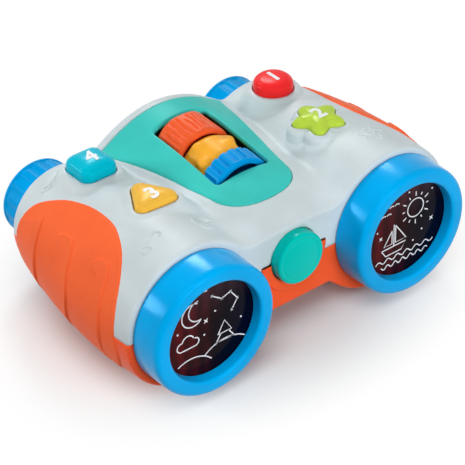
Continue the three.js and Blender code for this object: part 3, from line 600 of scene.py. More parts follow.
def moulded(name, colour, roughness=0.32, grain=0.0004, depth=0.000012, shine=0.13):
    """Moulded plastic: slow flow marks in the colour and the gloss, and a fine even grain."""
    paint = Paint(bpy.data.materials.new(name))
    flow = paint.noise(0.022, 3)
    fine = paint.noise(grain)
    paint.set(
        Base_Color=paint.mix(tinted(colour, 0.94), tinted(colour, 1.05), flow.between(0.3, 0.7)),
        Roughness=roughness + (flow - 0.5) * 0.1 + (fine - 0.5) * 0.08,
        Normal=paint.bump(fine, depth),
        Specular_IOR_Level=shine,
        Specular_Tint=(*[0.05 + 0.95 * c / max(colour) for c in colour], 1),
    )
    return paint.owner


def lens_glass(name, side):
    """Dark smoked plastic that fades to navy and black, with a painted red reflection on one side, broken by upright
    bands, and a painted purple-grey sheen towards the top.
    """
    paint = Paint(bpy.data.materials.new(name))
    reach = 1 / (LENS_RADIUS * MM)
    across = (paint.along("X") - side * BARREL_AXIS * MM) * reach
    rise = (paint.along("Z") - AXIS_HEIGHT * MM) * reach
    cloud = paint.noise(0.009, 3)
    band = paint.add("ShaderNodeMath", {"operation": "SINE"}, {0: across * 21 + cloud * 5})
    # Painted red reflection on the lens's left side, broken by the upright bands
    red = (rise * 0.1 - across + (cloud - 0.5) * 0.7).between(-0.4, 1.1) * (0.7 + band * 0.3)
    navy = (across * 0.8 - rise * 0.2).between(-0.2, 1.2)
    # Painted purple-grey sheen, lighter towards the top of the lens
    painted_top_sheen = (rise - across * 0.2 + (cloud - 0.5) * 0.5).between(0.1, 1.3) * (0.8 + band * 0.2)
    dark = paint.mix((0.002, 0.001, 0.002, 1), (0.001, 0.001, 0.014, 1), navy)
    # The painted purple-grey sheen laid over the dark glass
    glass_with_painted_top_sheen = paint.mix(dark, (0.09, 0.04, 0.055, 1), painted_top_sheen)
    paint.set(
        # The painted red reflection laid over the rest
        Base_Color=paint.mix(glass_with_painted_top_sheen, (0.12, 0.006, 0.008, 1), red),
        Roughness=0.14 + (cloud - 0.5) * 0.06,
        Specular_IOR_Level=0.05,
    )
    return paint.owner


def metal(name, colour, roughness):
    """Plated steel with fine scratches."""
    paint = Paint(bpy.data.materials.new(name))
    fine = paint.noise(0.0003, 3)
    slow = paint.noise(0.004)
    paint.set(
        Base_Color=paint.mix(tinted(colour, 0.8), tinted(colour, 1.1), slow),
        Roughness=roughness + (fine - 0.5) * 0.25,
        Normal=paint.bump(fine, 0.00001),
        Metallic=1,
    )
    return paint.owner


# Settings

def colour_setting(name, shade):
    return bpy.props.FloatVectorProperty(name=name, description=f"Colour of the {name.lower()}", subtype="COLOR",
                                         size=3, min=0, max=1, default=srgb(*shade))


def number_setting(name, description, default, least=0.0, unit="LENGTH"):
    return bpy.props.FloatProperty(name=name, description=description, default=default, min=least, unit=unit)


class BinocularsColours(bpy.types.PropertyGroup):
    """Colours of the plastics."""
    casing: colour_setting("Casing", (204, 215, 218))
    lower: colour_setting("Lower casing", (254, 93, 46))
    grip: colour_setting("Grips", (255, 108, 60))
    panel: colour_setting("Panel", (64, 197, 188))
    ring: colour_setting("Lens rings", (0, 170, 238))
    eyepiece: colour_setting("Eyepieces", (0, 162, 232))
    round: colour_setting("Round button", (246, 46, 48))
    star: colour_setting("Star button", (184, 214, 72))
    triangle: colour_setting("Triangle button", (240, 187, 70))
    square: colour_setting("Square button", (0, 190, 214))
    front: colour_setting("Front button", (0, 196, 184))
    front_roller: colour_setting("Front roller", (0, 150, 222))
    middle_roller: colour_setting("Middle roller", (252, 178, 56))
    rear_roller: colour_setting("Rear roller", (236, 94, 48))


class BinocularsSizes(bpy.types.PropertyGroup):
    """Sizes that a user would change."""
    cell: number_setting("Casing cell", "Width of the casing's mesh cells", 0.00075, 0.0004)
    wall: number_setting("Wall", "Thickness of the casing's walls", 0.0012, 0.0005)
    hook_height: number_setting("Grip lines", "Height of the leaf edges on the grips", 0.0009)
    print_width: number_setting("Print line", "Width of the lines printed on the lenses", 0.00055)
    key_power: number_setting("Main lamp", "Power of the main lamp", 4.4, unit="POWER")
    sky: number_setting("Sky", "Strength of the even light from all round", 0.08, unit="NONE")


def colours():
    return bpy.context.scene.binoculars_colours


def sizes():
    return bpy.context.scene.binoculars_sizes


# Casing

def casing_rows(cell, face_rows=18, fillet_steps=4):
    """Rows of the casing's mesh as (y, inset, share of the end face), from the middle of one end to the other."""
    def end_rows(end, inward, radius):
        rows = [(end, radius, i / face_rows) for i in range(face_rows)]
        for step in range(fillet_steps + 1):
            angle = math.pi / 2 * step / fillet_steps
            rows.append((end + inward * radius * (1 - math.cos(angle)), radius * (1 - math.sin(angle)), 1))
        return rows

    front, rear = end_rows(0, 1, FRONT_FILLET)[:-1], end_rows(BODY_LENGTH, -1, REAR_FILLET)[::-1]
    middle = [(y, 0, 1) for y in steps_between(FRONT_FILLET, BODY_LENGTH - REAR_FILLET, cell)]
    return front + middle + rear, face_rows, len(front) + len(middle) + fillet_steps


def casing_columns(cell):
    """Columns across the casing: x up to the barrel's axis, then distance round the barrel."""
    end = BARREL_AXIS + BARREL_ROUND * math.pi / 2
    right = steps_between(0, 33, cell * 1.3) + steps_between(33, 66, cell)
    right += steps_between(66, end, cell * 1.5) + [end]
    return [(-q,) for q in reversed(right[1:])] + [(q,) for q in right]


def casing_point(q, y, inset, share, upper):
    radius = barrel_radius(y, inset)
    turn = min(math.pi / 2, max(0, abs(q) - BARREL_AXIS) / BARREL_ROUND)
    power = 2 / (UPPER_FULLNESS if upper else LOWER_FULLNESS)
    x = math.copysign(min(abs(q), BARREL_AXIS) + radius * math.sin(turn) ** power, q)
    edge = max(SPLIT, upper_height(x, y, inset)) if upper else min(-SPLIT, -bottom_depth(x, y, inset))
    start = SPLIT if upper else -SPLIT
    return Vector((x, y, start + (edge - start) * share))


# Radii of the round openings at the ends, and the depth where there is no opening
LENS_HOLE = 28.3
EYE_HOLE = 15.3
CLOSED = -9


def front_opening(x, z):
    lens = LENS_HOLE - math.hypot(abs(x) - BARREL_AXIS, z)
    away = math.hypot(x, z - PUSH_HEIGHT)
    saddle = min(SADDLE_RADIUS + SEAT_GAP - away, PUSH_HEIGHT + SEAT_GAP - z) if z > 0 else CLOSED
    return max(lens, PUSH_HOLE - away, saddle)


def rear_opening(x, z):
    return EYE_HOLE - math.hypot(abs(x) - BARREL_AXIS, z)


def top_opening(x, y):
    depth = CLOSED
    if abs(x) < 36 and y > 13:
        depth = SEAT_GAP - panel_edge(x, y)
    for plan in BUTTONS.values():
        if math.hypot(x - plan.x, y - plan.y) < HOLE_REACH:
            depth = max(depth, SLIDE_GAP - plan.distance(x, y))
    return depth


# Openings underneath: boxes as (x, y, half length, half width, corner) and round holes for screws on both sides
UNDER_BOXES = [(0, 55.15, 17.45, 32.15, 1), (0, 91.5, 7.4, 2.8, 0.6)]
UNDER_BOXES += [(BARREL_AXIS + step * 4.8, 54, 1.2, 7.5, 1.1) for step in (-2, -1, 0, 1, 2)]
SCREWS = [(25, 12), (32.1, 56), (40.5, 87)]
SCREW_HOLE = 3.1


def under_opening(x, y):
    boxes = [-rounded_box(x - at_x, y - at_y, *shape) for at_x, at_y, *shape in UNDER_BOXES]
    return max(*boxes, *[SCREW_HOLE - math.hypot(abs(x) - at_x, y - at_y) for at_x, at_y in SCREWS])


def casing_skin(upper, cell):
    """One half of the casing, as a skin with its openings."""
    rows, front_end, rear_start = casing_rows(cell)
    columns = casing_columns(cell)
    bm = index_grid(len(columns), len(rows))

    def spot(u, v):
        return casing_point(*at(columns, u), *at(rows, v), upper)

    def opening(u, v):
        p = spot(u, v)
        if v <= front_end:
            return front_opening(p.x, p.z)
        if v >= rear_start:
            return rear_opening(p.x, p.z)
        return top_opening(p.x, p.y) if upper else under_opening(p.x, p.y)

    cut_grid(bm, opening)
    bend_grid(bm, spot)
    return bm


def star_boss(plan):
    """The collar under the star button: a round lobe stands under each tip."""
    bend, steps = 3, 8
    rings = [(0, -5), (0, 0)]
    for step in range(steps + 1):
        turn = math.pi / 2 * step / steps
        rings.append((LOBE_RADIUS - bend * (1 - math.sin(turn)), bend * (math.cos(turn) - 1)))
    rings += [(LOBE_RADIUS + 0.1, -5), (LOBE_RADIUS + 0.5, -14)]

    def spot(turn, ring):
        radius, up = ring
        edge = max(plan.edge(turn) + SLIDE_GAP - 0.05, lobe_edge(turn, radius) if radius else 0)
        return plan.around(turn, edge, plan.boss_top + up)

    return lofted(rings, 200, spot)


def raised_line(points):
    """A rounded line that stands out of the upper casing along points in the x-y plane."""
    curve = bpy.data.curves.new("mark", "CURVE")
    curve.dimensions = "3D"
    curve.bevel_depth = MARK_RADIUS
    curve.bevel_resolution = 2
    curve.use_fill_caps = True
    spline = curve.splines.new("POLY")
    spline.points.add(len(points) - 1)
    for place, (x, y) in zip(spline.points, points):
        place.co = (x, y, upper_height(x, y, 0) - MARK_RADIUS * 0.2, 1)
    return curve_mesh(curve)


def raised_marks():
    """Faint moulded marks on the barrels: a note, ripples, a flower and two bars, as lines in the x-y plane."""
    note = [arc(-66.6, 13.2, 1.9, 0, 360), [(-65, 14.2), (-58.2, 18.6)], [(-58.2, 18.6), (-57, 16.6), (-58.6, 14.6)]]
    ripples = [arc(-35, 15.5, r, 20, 20 + sweep) for r, sweep in ((1.6, 360), (3.4, 300), (5.2, 250))]
    petals = [spoke(57.5, 16.5, 4.6 + 1.5 * math.cos(math.radians(5 * turn)), turn) for turn in range(0, 361, 6)]
    flower = [petals, arc(57.5, 16.5, 1.7, 0, 360)]
    bars = [arc(-64, 88, radius, 200, 330) for radius in (3, 5)]
    return [*note, *ripples, *flower, *bars]


class BINOCULARS_OT_casing(bpy.types.Operator):
    """Models the two halves of the casing, the feet and the saddle under the front button"""
    bl_idname = "binoculars.casing"
    bl_label = "Casing"

    def execute(self, context):
        cell, wall = sizes().cell / MM, sizes().wall / MM
        white = moulded("casing_white", colours().casing, 0.38)
        orange = moulded("casing_orange", colours().lower, 0.34)
        add_piece(casing_skin(True, cell), "casing_top", "casing", white, ["upper_casing"], wall)
        add_piece(star_boss(BUTTONS["star"]), "star_collar", "casing", white)
        for i, line in enumerate(raised_marks()):
            add_piece(raised_line(line), f"raised_mark_{i + 1}", "casing", white)
        add_piece(casing_skin(False, cell * 1.4), "casing_under", "casing", orange,
                  ["lower_casing"], wall)
        section = soft_profile([(PUSH_HOLE, 2, 0), (PUSH_HOLE, -0.8, 0.6), (SADDLE_RADIUS, -0.8, 0.9),
                                (SADDLE_RADIUS, 2, 0)])
        bm = turned(section, (0, 0, PUSH_HEIGHT), 48, math.pi)
        bmesh.ops.holes_fill(bm, edges=bm.edges)
        add_piece(bm, "button_saddle", "casing", orange)
        profile = soft_profile([(0, -AXIS_HEIGHT, 0), (7, -AXIS_HEIGHT, 0.8), (7.4, -30, 0), (0, -30, 0)])
        for side_name, side in SIDES.items():
            for place, y in FOOT_PLACES.items():
                foot = turned(profile, steps=48)
                bmesh.ops.rotate(foot, cent=(0, 0, 0), matrix=Matrix.Rotation(math.pi / 2, 3, "X"), verts=foot.verts)
                bmesh.ops.translate(foot, vec=(side * BARREL_AXIS, y, 0), verts=foot.verts)
                add_piece(foot, f"{side_name}_{place}_foot", "casing", orange)
        return {"FINISHED"}


class BINOCULARS_OT_panel(bpy.types.Operator):
    """Models the top panel with its window for the rollers"""
    bl_idname = "binoculars.panel"
    bl_label = "Top panel"

    def execute(self, context):
        def inside(x, y):
            return min(-panel_edge(x, y), window_edge(x, y))

        def spot(x, y):
            return Vector((x, y, top_height(x, y, -PANEL_PROUD) - min(edge_drop(inside(x, y), PANEL_ROUND), 1.1)))

        bm = cut_sheet((-35, 35), (14.5, 94), 0.6, inside, spot)
        skirt = bmesh.ops.extrude_edge_only(bm, edges=[e for e in bm.edges if e.is_boundary])
        verts = [g for g in skirt["geom"] if isinstance(g, bmesh.types.BMVert)]
        bmesh.ops.translate(bm, vec=(0, 0, -PANEL_SKIRT), verts=verts)
        finish = moulded("panel_teal", colours().panel, 0.38, shine=0.08)
        add_piece(bm, "panel", "casing", finish, ["top_panel"], PANEL_WALL)
        return {"FINISHED"}


def leaf_rise(points):
    """A function that is one along a line's inner side, and falls slowly on that side and at once on the other."""
    trail = Trail(points, False)
    length = np.sqrt(trail.square)
    run = np.concatenate(([0], np.cumsum(length)))

    def rise(y, reach):
        span, share, distance = trail.nearest(y, reach)
        edge, start = trail.edge[span], trail.a[span]
        inner = edge[0] * (reach - start[1]) - edge[1] * (y - start[0]) > 0
        along = run[span] + share * length[span]
        fade = ease(along, 0, 6) * (1 - ease(along, run[-1] - 3, run[-1] + 4))
        side = distance if inner else -distance
        return fade * ease(side, -0.45, 0.3) * math.exp(-max(0, side) / 9)

    return rise


class BINOCULARS_OT_grips(bpy.types.Operator):
    """Models the two side grips with their raised lines"""
    bl_idname = "binoculars.grips"
    bl_label = "Grips"

    def execute(self, context):
        finish = moulded("grip_orange", colours().grip, 0.42, grain=0.0005, depth=0.00002, shine=0.04)
        height = sizes().hook_height / MM
        leaves = [leaf_rise([(y, math.radians(a) * BARREL_ROUND) for y, a in curve_points(hook, 6, False)])
                  for hook in GRIP_HOOKS]

        def surface(y, reach, lift):
            turn = reach / BARREL_ROUND
            radius = barrel_radius(y, -SEAT_GAP - lift)
            power = 2 / (UPPER_FULLNESS if turn > 0 else LOWER_FULLNESS)
            return Vector((BARREL_AXIS + radius * math.cos(turn) ** power, y,
                           radius * math.copysign(abs(math.sin(turn)) ** power, turn)))

        def inside(y, reach):
            return -grip_edge(y, surface(y, reach, GRIP_ROUND).z)

        def spot(y, reach):
            lift = GRIP_LIFT - min(1, edge_drop(inside(y, reach), GRIP_ROUND))
            return surface(y, reach, lift - height * (1 - max(leaf(y, reach) for leaf in leaves)))

        for side_name, side in SIDES.items():
            bm = cut_sheet((6, 94), (-46, 46), 0.42, inside, spot)
            if side < 0:
                bmesh.ops.scale(bm, vec=(-1, 1, 1), verts=bm.verts)
            add_piece(bm, f"{side_name}_side_grip", "casing", finish, [f"{side_name}_grip"], GRIP_WALL)
        return {"FINISHED"}


CAP_DEPTH = 14
CAP_TIERS = {
    "round": [(1, 4.3), (0.992, 3.5), (0.975, 2.8), (0.945, 2.2), (0.9, 1.7), (0.855, 1.38), (0.825, 1.24),
              (0.81, 1.22), (0.798, 1.1), (0.79, 0.86), (0.775, 0.72), (0.74, 0.58), (0.6, 0.3), (0.4, 0.1),
              (0.2, 0.02)],
    "star": [(1, 4.2), (0.985, 3.4), (0.95, 2.6), (0.89, 1.95), (0.81, 1.45), (0.74, 1.15), (0.7, 1.04),
             (0.685, 0.94), (0.675, 0.7), (0.655, 0.54), (0.6, 0.4), (0.45, 0.18), (0.25, 0.04)],
    "triangle": [(1, 3.8), (0.988, 3), (0.96, 2.3), (0.92, 1.75), (0.87, 1.4), (0.83, 1.24), (0.812, 1.16),
                 (0.803, 0.94), (0.785, 0.78), (0.74, 0.62), (0.6, 0.36), (0.4, 0.13), (0.2, 0.02)],
    "square": [(1, 4.4), (0.99, 3.6), (0.968, 2.9), (0.93, 2.3), (0.885, 1.86), (0.85, 1.66), (0.835, 1.6),
               (0.825, 1.42), (0.81, 1.22), (0.77, 1), (0.6, 0.52), (0.4, 0.2), (0.2, 0.04)],
}


def button_cap(plan, tiers):
    """A push button lofted from its outline: tiers are (share of the outline, height below the top)."""
    def spot(turn, tier):
        return plan.around(turn, plan.edge(turn) * tier[0], plan.cap_top - tier[1])

    return lofted([(0, CAP_DEPTH), (1, CAP_DEPTH), *tiers, (0, 0)], 120, spot)


def numeral_mesh(text, size, thickness):
    """A numeral as a flat solid in the x-y plane, its middle at nought."""
    curve = bpy.data.curves.new("numeral", "FONT")
    curve.body = text
    curve.size = size
    curve.extrude = thickness / 2
    curve.offset = size * NUMERAL_WEIGHT
    curve.align_x, curve.align_y = "CENTER", "CENTER"
    bm = curve_mesh(curve)
    low, high = (Vector([end(v.co[k] for v in bm.verts) for k in range(3)]) for end in (min, max))
    bmesh.ops.translate(bm, vec=(low + high) / -2, verts=bm.verts)
    return bm


class BINOCULARS_OT_buttons(bpy.types.Operator):
    """Models the four push buttons on the casing, their numerals and the large button between the lenses"""
    bl_idname = "binoculars.buttons"
    bl_label = "Push buttons"

    def execute(self, context):
        ink = moulded("button_ink", srgb(234, 238, 240), 0.4)
        for name, plan in BUTTONS.items():
            finish = moulded(f"button_{name}", getattr(colours(), name), 0.22)
            body = f"{name}_button"
            add_piece(button_cap(plan, CAP_TIERS[name]), f"{name}_cap", body, finish, [body])
            numeral = numeral_mesh(plan.numeral, NUMERAL_SIZE, 2 * NUMERAL_PROUD)
            spot = (plan.x, plan.y - (1.2 if name == "triangle" else 0), plan.cap_top)
            bmesh.ops.translate(numeral, vec=spot, verts=numeral.verts)
            add_piece(numeral, f"{name}_numeral", body, ink)
        finish = moulded("button_front", colours().front, 0.22)
        profile = soft_profile([
            (0, -6.1, 0), (5, -5.95, 0), (9.4, -5.45, 0.5), (9.9, -5.15, 0.3), (10.4, -5.4, 0.4),
            (12.2, -5.1, 1.3), (12.2, 1.6, 0), (0, 1.6, 0)])
        add_piece(turned(profile, (0, 0, PUSH_HEIGHT)), "front_push", "front_button", finish,
                  ["front_button"])
        return {"FINISHED"}


# Rollers as (front end, length, rounding at the front, rounding at the rear, slot)
ROLLERS = {
    "front": (35.2, 10, 1.1, 0.8, "blue_roller"),
    "middle": (45.7, 15.6, 3.4, 3.4, "yellow_roller"),
    "rear": (61.8, 17, 2.2, 2.4, "orange_roller"),
}


def roller_relief(name, turn, y):
    """How deep the roller's surface lies under its full radius, at a turn and a distance from its front end."""
    if name == "front":
        bar = math.cos(21 * turn)
        ends = ease(y, 0.9 - 0.5 * bar, 1.7 - 0.5 * bar)
        return 0.5 * (1 - math.tanh(3.5 * (bar + 0.62))) * ends
    if name == "middle":
        rise = 0
        for k, along in enumerate((4.2, 11, 6.6, 12, 3.8, 9.4, 4.4, 11.6, 6.2, 10.8)):
            aside = ((turn / math.tau * 10 - k - 0.3 * math.sin(2.6 * k) + 5) % 10 - 5) * 9.1
            rise += math.exp(-(aside * aside + (y - along) ** 2) / 9)
        return 2 * (1 - min(1, rise))
    step = math.tau / 34
    k = round(turn / step)
    drift = 0.3 * math.sin(4.7 * k) + 0.12 * math.sin(0.7 * y + 2.1 * k)
    aside = (turn / step - k - drift * 0.6) * step * ROLLER_RADIUS
    reach = ease(y, 0.6 + 2 * abs(math.sin(3.1 * k)), 3 + 2 * abs(math.sin(3.1 * k)))
    reach *= 1 - ease(y, 13 + 3 * math.sin(1.9 * k), 15.5 + 2.5 * math.sin(1.9 * k))
    swell = 0.2 * math.sin(7 * turn + 0.2 * y)
    return 0.25 + swell + 0.55 * reach * math.exp(-(aside / 0.42) ** 2)


class BINOCULARS_OT_rollers(bpy.types.Operator):
    """Models the three rollers in the panel's window"""
    bl_idname = "binoculars.rollers"
    bl_label = "Rollers"

    def execute(self, context):
        radius = ROLLER_RADIUS
        tilt = (Matrix.Translation(AXLE_AT) @ Matrix.Rotation(AXLE_TURN, 4, "X")
                @ Matrix.Translation((0, -AXLE_AT.y, 0)))
        for name, (start, length, front_round, rear_round, slot) in ROLLERS.items():
            profile = fine_profile([
                (2.4, 5, 0), (radius - 3.2, 5, 1), (radius - 2.9, 0.1, 0.5), (radius, 0, front_round),
                (radius, length, rear_round), (2.4, length, 0)], 6, 0.5)

            def spot(turn, point):
                depth = roller_relief(name, turn, point.y) * ease(point.x, radius - 4, radius - 0.6)
                r = point.x - depth
                return Vector((r * math.cos(turn), start + point.y, r * math.sin(turn)))

            bm = lofted([*profile, profile[0]], 252, spot)
            bmesh.ops.transform(bm, matrix=tilt, verts=bm.verts)
            body = f"{name}_roller"
            finish = moulded(f"roller_{name}", getattr(colours(), body), 0.3)
            add_piece(bm, f"{name}_wheel", body, finish, [body])
        return {"FINISHED"}


def ink_line(bm, points, width, y):
    """A flat printed line through points in the x-z plane, facing the front."""
    across = bm.verts.layers.float_vector.get("across") or bm.verts.layers.float_vector.new("across")
    points = [Vector(p) for p in points]
    line = []
    for i, point in enumerate(points):
        way = (points[min(i + 1, len(points) - 1)] - points[max(i - 1, 0)]).normalized()
        vert = bm.verts.new((point.x - way.y * width / 2, y, point.y + way.x * width / 2))
        vert[across] = (way.y * width, 0, -way.x * width)
        line.append(vert)
    edges = [bm.edges.new(pair) for pair in zip(line, line[1:])]
    grown = bmesh.ops.extrude_edge_only(bm, edges=edges)["geom"]
    for vert in (g for g in grown if isinstance(g, bmesh.types.BMVert)):
        vert.co += vert[across]


def ink_star(bm, x, z, size, y):
    """A filled dot, or a filled star of four points where it is large enough to show them."""
    face_front = Matrix.Translation((x, y, z)) @ Matrix.Rotation(math.pi / 2, 4, "X")
    corners = bmesh.ops.create_circle(bm, cap_ends=True, segments=8, radius=size, matrix=face_front)["verts"]
    if size > 0.7:
        bmesh.ops.scale(bm, vec=(0.36, 1, 0.36), verts=corners[::2], space=Matrix.Translation((-x, -y, -z)))


def left_print():
    """A crescent, a chain of stars, a cloud and a pine on low hills."""
    lines = [arc(-8, 9.5, 5.6, 62, 318), arc(-5.2, 10.6, 4.9, 88, 286)]
    chain = [(2, 14.5), (7, 11), (11.5, 12.5), (15, 7.5), (12, 3)]
    lines += [[a, b] for a, b in zip(chain, chain[1:])]
    lines += [arc(-14.4, -4, 2.2, 75, 270), arc(-11, -2.6, 3, 15, 165), arc(-7.4, -4.2, 2, -90, 95)]
    lines += [[(-14.4, -6.2), (-7.4, -6.2)]]
    lines += [arc(-10, -26, 14, 40, 118), arc(8, -27, 17, 38, 129)]
    lines += [[(4.4, -6.6), (8, -0.6), (11.6, -6.6), (4.4, -6.6)], [(3.4, -10.4), (6, -6.6)],
              [(12.6, -10.4), (10, -6.6)], [(3.4, -10.4), (12.6, -10.4)]]
    stars = [(x, z, 0.95) for x, z in chain]
    stars += [(-16, 3.5, 0.5), (-1.5, 3.6, 1.5), (3.4, 6.4, 0.5), (16.6, -3, 0.5), (-2.6, -3, 0.5), (-1, 19, 1.2)]
    return lines, stars


def right_print():
    """A sun with rays, a boat, two birds and waves."""
    lines = [arc(6, 8, 4.6, 0, 360, 36)]
    lines += [[spoke(6, 8, end, 30 * i) for end in (6.2, 8.4 if i % 2 else 7.5)] for i in range(12)]
    lines += [[(-13.4, -7), (0.6, -7), (-2, -10.6), (-11, -10.6), (-13.4, -7)], [(-6.4, -7), (-6.4, 4.4)],
              [(-5.4, 3.6), (-5.4, -5.4), (0.8, -5.4), (-5.4, 3.6)],
              [(-7.4, 1.6), (-7.4, -5.4), (-12, -5.4), (-7.4, 1.6)]]
    for level, amount in ((-13, 0.9), (-16.4, 0.9)):
        half = math.sqrt(21.6 ** 2 - level ** 2) - 0.5
        lines.append([(-half + 2 * half * i / 48, level + amount * math.sin(i * 0.8 + level)) for i in range(49)])
    for x, z in ((-11, 11), (-6.4, 14.4)):
        lines += [arc(x - 1.5, z - 1.5, 1.7, 45, 140, 8), arc(x + 1.5, z - 1.5, 1.7, 135, 40, 8)]
    stars = [(-16, 4, 0.5), (-14, 0, 1.3), (2, 17.6, 0.5), (15.5, -1.6, 1.4), (10, -5, 0.5), (15.5, 14, 0.5),
             (5, -9, 0.5)]
    return lines, stars


class BINOCULARS_OT_lenses(bpy.types.Operator):
    """Models the lens rings, the dark lenses and their printed lines"""
    bl_idname = "binoculars.lenses"
    bl_label = "Lenses"

    def execute(self, context):
        gloss = moulded("ring_blue", colours().ring, 0.18, shine=0.2)
        ink = moulded("lens_ink", srgb(235, 236, 240), 0.5)
        width = sizes().print_width / MM
        profile = soft_profile([
            (28, 4.4, 0), (28, -SEAT_GAP, 0), (31, -SEAT_GAP, 0.5), (30.6, -15.9, 2.8), (23.6, -16, 1.6),
            (23.1, -10.6, 0.3), (25.3, -10.6, 0), (25.3, 4.4, 0), (28, 4.4, 0)], 7)
        disc = soft_profile([(0, -10.55, 0), (12, -10.45, 0), (25, -10.3, 0.3), (25, -8.3, 0), (0, -8.3, 0)])
        for side_name, side in SIDES.items():
            middle = (side * BARREL_AXIS, 0, 0)
            add_piece(turned(profile, middle, 128), f"{side_name}_ring", "casing", gloss,
                      [f"{side_name}_lens_ring"])
            add_piece(turned(disc, middle), f"{side_name}_lens", "casing",
                      lens_glass(f"lens_{side_name}", side), [f"{side_name}_lens_window"])
            bm = bmesh.new()
            lines, stars = left_print() if side < 0 else right_print()
            for line in lines:
                points = [(middle[0] + x, z) for x, z in line if math.hypot(x, z) < PRINT_REACH]
                ink_line(bm, points, width, PRINT_FACE)
            for x, z, size in stars:
                ink_star(bm, middle[0] + x, z, size, PRINT_FACE)
            bmesh.ops.recalc_face_normals(bm, faces=bm.faces)
            bmesh.ops.solidify(bm, geom=bm.faces[:], thickness=0.1)
            add_piece(bm, f"{side_name}_lens_lines", "casing", ink)
        return {"FINISHED"}


class BINOCULARS_OT_eyepieces(bpy.types.Operator):
    """Models the two fluted eyepieces and their windows"""
    bl_idname = "binoculars.eyepieces"
    bl_label = "Eyepieces"

    def execute(self, context):
        finish = moulded("eyepiece_blue", colours().eyepiece, 0.3, shine=0.05)
        smoke = moulded("eyepiece_smoke", srgb(30, 26, 30), 0.12)
        profile = fine_profile([
            (15, 94.5, 0), (15, 98.8, 0), (19.6, 98.8, 0.5), (19.6, 100.9, 0.8), (17.9, 101.8, 0.4),
            (17.9, 112.9, 0.3), (18.2, 113.2, 0.3), (18.1, EYE_END, 1.1), (15, EYE_END, 0.7),
            (13.6, 103.5, 0.3), (10.5, 103.2, 0.2), (10.5, 94.5, 0)], 5, 1.2)
        disc = soft_profile([(0, 103.5, 0), (8, 103.35, 0), (13.3, 102.9, 0.2), (13.3, 101.5, 0), (0, 101.5, 0)])
        for side_name, side in SIDES.items():
            def spot(turn, point):
                on_wall = ease(point.y, 101.9, 102.8) * (1 - ease(point.y, 112.2, 112.9)) * (point.x > 16.5)
                r = point.x + on_wall * 0.28 * math.tanh(2 * math.cos(16 * turn))
                return Vector((side * BARREL_AXIS + r * math.cos(turn), point.y, r * math.sin(turn)))

            body = f"{side_name}_eyepiece"
            bm = lofted([*profile, profile[0]], 192, spot)
            add_piece(bm, f"{side_name}_eyecup", body, finish, [body])
            add_piece(turned(disc, (side * BARREL_AXIS, 0, 0)), f"{side_name}_eye_lens", body, smoke,
                      [f"{side_name}_eyepiece_window"])
        return {"FINISHED"}


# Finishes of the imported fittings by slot: colour and roughness
FITTING_PLASTICS = {
    "black_plastic": ((38, 40, 44), 0.45), "board": ((44, 107, 60), 0.5), "silicone": ((216, 216, 210), 0.6),
    "light_cup": ((232, 234, 236), 0.3),
}
FITTING_METALS = {
    "steel": ((190, 194, 200), 0.35), "speaker": ((84, 88, 96), 0.5), "battery": ((150, 156, 164), 0.4),
}


class BINOCULARS_OT_fittings(bpy.types.Operator):
    """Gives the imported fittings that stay, outside and inside, their finishes"""
    bl_idname = "binoculars.fittings"
    bl_label = "Fittings"

    def execute(self, context):
        finishes = {"orange_shell": bpy.data.materials["casing_orange"]}
        for make, table in ((moulded, FITTING_PLASTICS), (metal, FITTING_METALS)):
            finishes |= {slot: make(slot, srgb(*shade), rough) for slot, (shade, rough) in table.items()}
        slots = {part["node"]: part["material_slot"] for part in frame["record"]["subparts"]}
        for name, node in frame["nodes"].items():
            if node.hide_render:
                continue
            finish = finishes[slots[name]]
            if not node.material_slots:
                node.data.materials.append(finish)
            for holder in node.material_slots:
                holder.material = finish
        return {"FINISHED"}


# Stage

# Lamps as (place in metres, size, share of the main power), aimed at the middle of the object
LAMPS = {
    "right_box": ((0.36, 0.6, 0.67), 0.26, 0.8),
    "left_box": ((-0.68, 0.56, 0.36), 0.26, 0.8),
    "front_lamp": ((0.04, -0.94, 0.28), 0.55, 1.15),
    "top_lamp": ((-0.3, -0.34, 0.82), 0.6, 0.85),
}
LAMP_TARGET = Vector((0, 0, 0.035))

# The camera: its turn, rise and roll in degrees, its place to the right, up and back, and its lens in picture widths
CAMERA_ANGLES = (-37.49, 35.45, -1.685)
CAMERA_PLACE = (-26.07, 13.43, 883.6)
CAMERA_LENS = 2078.2 / 465
FILM_WIDTH = 36


def area_lamp(name, spot, size, power):
    lamp = bpy.data.lights.new(name, "AREA")
    lamp.shape = "DISK"
    lamp.size = size
    lamp.energy = power
    obj = bpy.data.objects.new(name, lamp)
    bpy.context.scene.collection.objects.link(obj)
    obj.location = spot
    obj.rotation_euler = (LAMP_TARGET - obj.location).to_track_quat("-Z", "Y").to_euler()


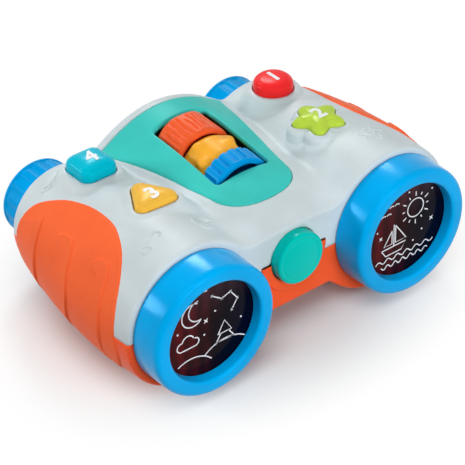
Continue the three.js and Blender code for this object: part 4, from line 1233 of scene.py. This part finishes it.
class BINOCULARS_OT_stage(bpy.types.Operator):
    """Sets the floor, the lamps, the white surroundings and the camera"""
    bl_idname = "binoculars.stage"
    bl_label = "Stage"

    def execute(self, context):
        scene = context.scene
        scene.view_settings.view_transform = "Standard"
        bm = bmesh.new()
        bmesh.ops.create_grid(bm, x_segments=2, y_segments=2, size=4)
        mesh = bpy.data.meshes.new("floor")
        bm.to_mesh(mesh)
        bm.free()
        floor = bpy.data.objects.new("floor", mesh)
        scene.collection.objects.link(floor)
        # The floor shows the shadow near the object and is plain white further out
        white = (1, 1, 1, 1)
        paint = Paint(bpy.data.materials.new("floor_white"))
        seen = paint.white_to_eye()
        paint.set(Base_Color=paint.mix((0.45, 0.45, 0.45, 1), (0.895, 0.925, 0.93, 1), seen), Roughness=0.9)
        spread = paint.add("ShaderNodeVectorMath", {"operation": "MULTIPLY"}, {0: paint.spot(), 1: (11, 14, 0)})
        away = paint.add("ShaderNodeVectorMath", {"operation": "LENGTH"}, {0: spread}, "Value")
        share = seen * away.between(0.72, 1.5)
        glow = paint.add("ShaderNodeEmission", {}, {"Color": white, "Strength": 1})
        paint.blend(Field(paint, paint.shader.outputs[0]), glow, share)
        mesh.materials.append(paint.owner)

        scene.world = bpy.data.worlds.new("studio")
        paint = Paint(scene.world)
        even = paint.add("ShaderNodeBackground", {}, {"Color": white, "Strength": sizes().sky})
        plain = paint.add("ShaderNodeBackground", {}, {"Color": white, "Strength": 1})
        paint.blend(even, plain, paint.white_to_eye())

        for name, (spot, size, share) in LAMPS.items():
            area_lamp(name, spot, size, sizes().key_power * share)

        turn, rise, roll = (math.radians(angle) for angle in CAMERA_ANGLES)
        view = Matrix.Rotation(turn, 4, "Z") @ Matrix.Rotation(math.pi / 2 - rise, 4, "X")
        view = view @ Matrix.Rotation(roll, 4, "Z")
        lens = bpy.data.cameras.new("camera")
        lens.sensor_width = FILM_WIDTH
        lens.lens = FILM_WIDTH * CAMERA_LENS
        camera = bpy.data.objects.new("camera", lens)
        scene.collection.objects.link(camera)
        camera.matrix_world = Matrix.Translation(PLACE @ (view @ Vector(CAMERA_PLACE))) @ view
        scene.camera = camera
        return {"FINISHED"}


OPERATORS = [
    BINOCULARS_OT_stage, BINOCULARS_OT_casing, BINOCULARS_OT_panel, BINOCULARS_OT_grips, BINOCULARS_OT_buttons,
    BINOCULARS_OT_rollers, BINOCULARS_OT_lenses, BINOCULARS_OT_eyepieces, BINOCULARS_OT_fittings,
]


class BINOCULARS_PT_panel(bpy.types.Panel):
    """Lists the settings and the pieces of the binoculars"""
    bl_idname = "BINOCULARS_PT_panel"
    bl_label = "Toy binoculars"
    bl_space_type = "VIEW_3D"
    bl_region_type = "UI"
    bl_category = "Binoculars"

    def draw(self, context):
        for group in (context.scene.binoculars_colours, context.scene.binoculars_sizes):
            for name in group.__annotations__:
                self.layout.prop(group, name)
        for operator in OPERATORS:
            self.layout.operator(operator.bl_idname)


CLASSES = [BinocularsColours, BinocularsSizes, *OPERATORS, BINOCULARS_PT_panel]


def register():
    for cls in CLASSES:
        bpy.utils.register_class(cls)
    bpy.types.Scene.binoculars_colours = bpy.props.PointerProperty(type=BinocularsColours)
    bpy.types.Scene.binoculars_sizes = bpy.props.PointerProperty(type=BinocularsSizes)


def unregister():
    del bpy.types.Scene.binoculars_sizes
    del bpy.types.Scene.binoculars_colours
    for cls in reversed(CLASSES):
        bpy.utils.unregister_class(cls)


def main():
    register()
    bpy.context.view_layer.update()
    bpy.ops.binoculars.stage()
    bpy.ops.binoculars.casing()
    bpy.ops.binoculars.panel()
    bpy.ops.binoculars.grips()
    bpy.ops.binoculars.buttons()
    bpy.ops.binoculars.rollers()
    bpy.ops.binoculars.lenses()
    bpy.ops.binoculars.eyepieces()
    bpy.ops.binoculars.fittings()


if __name__ == "__main__":
    main()
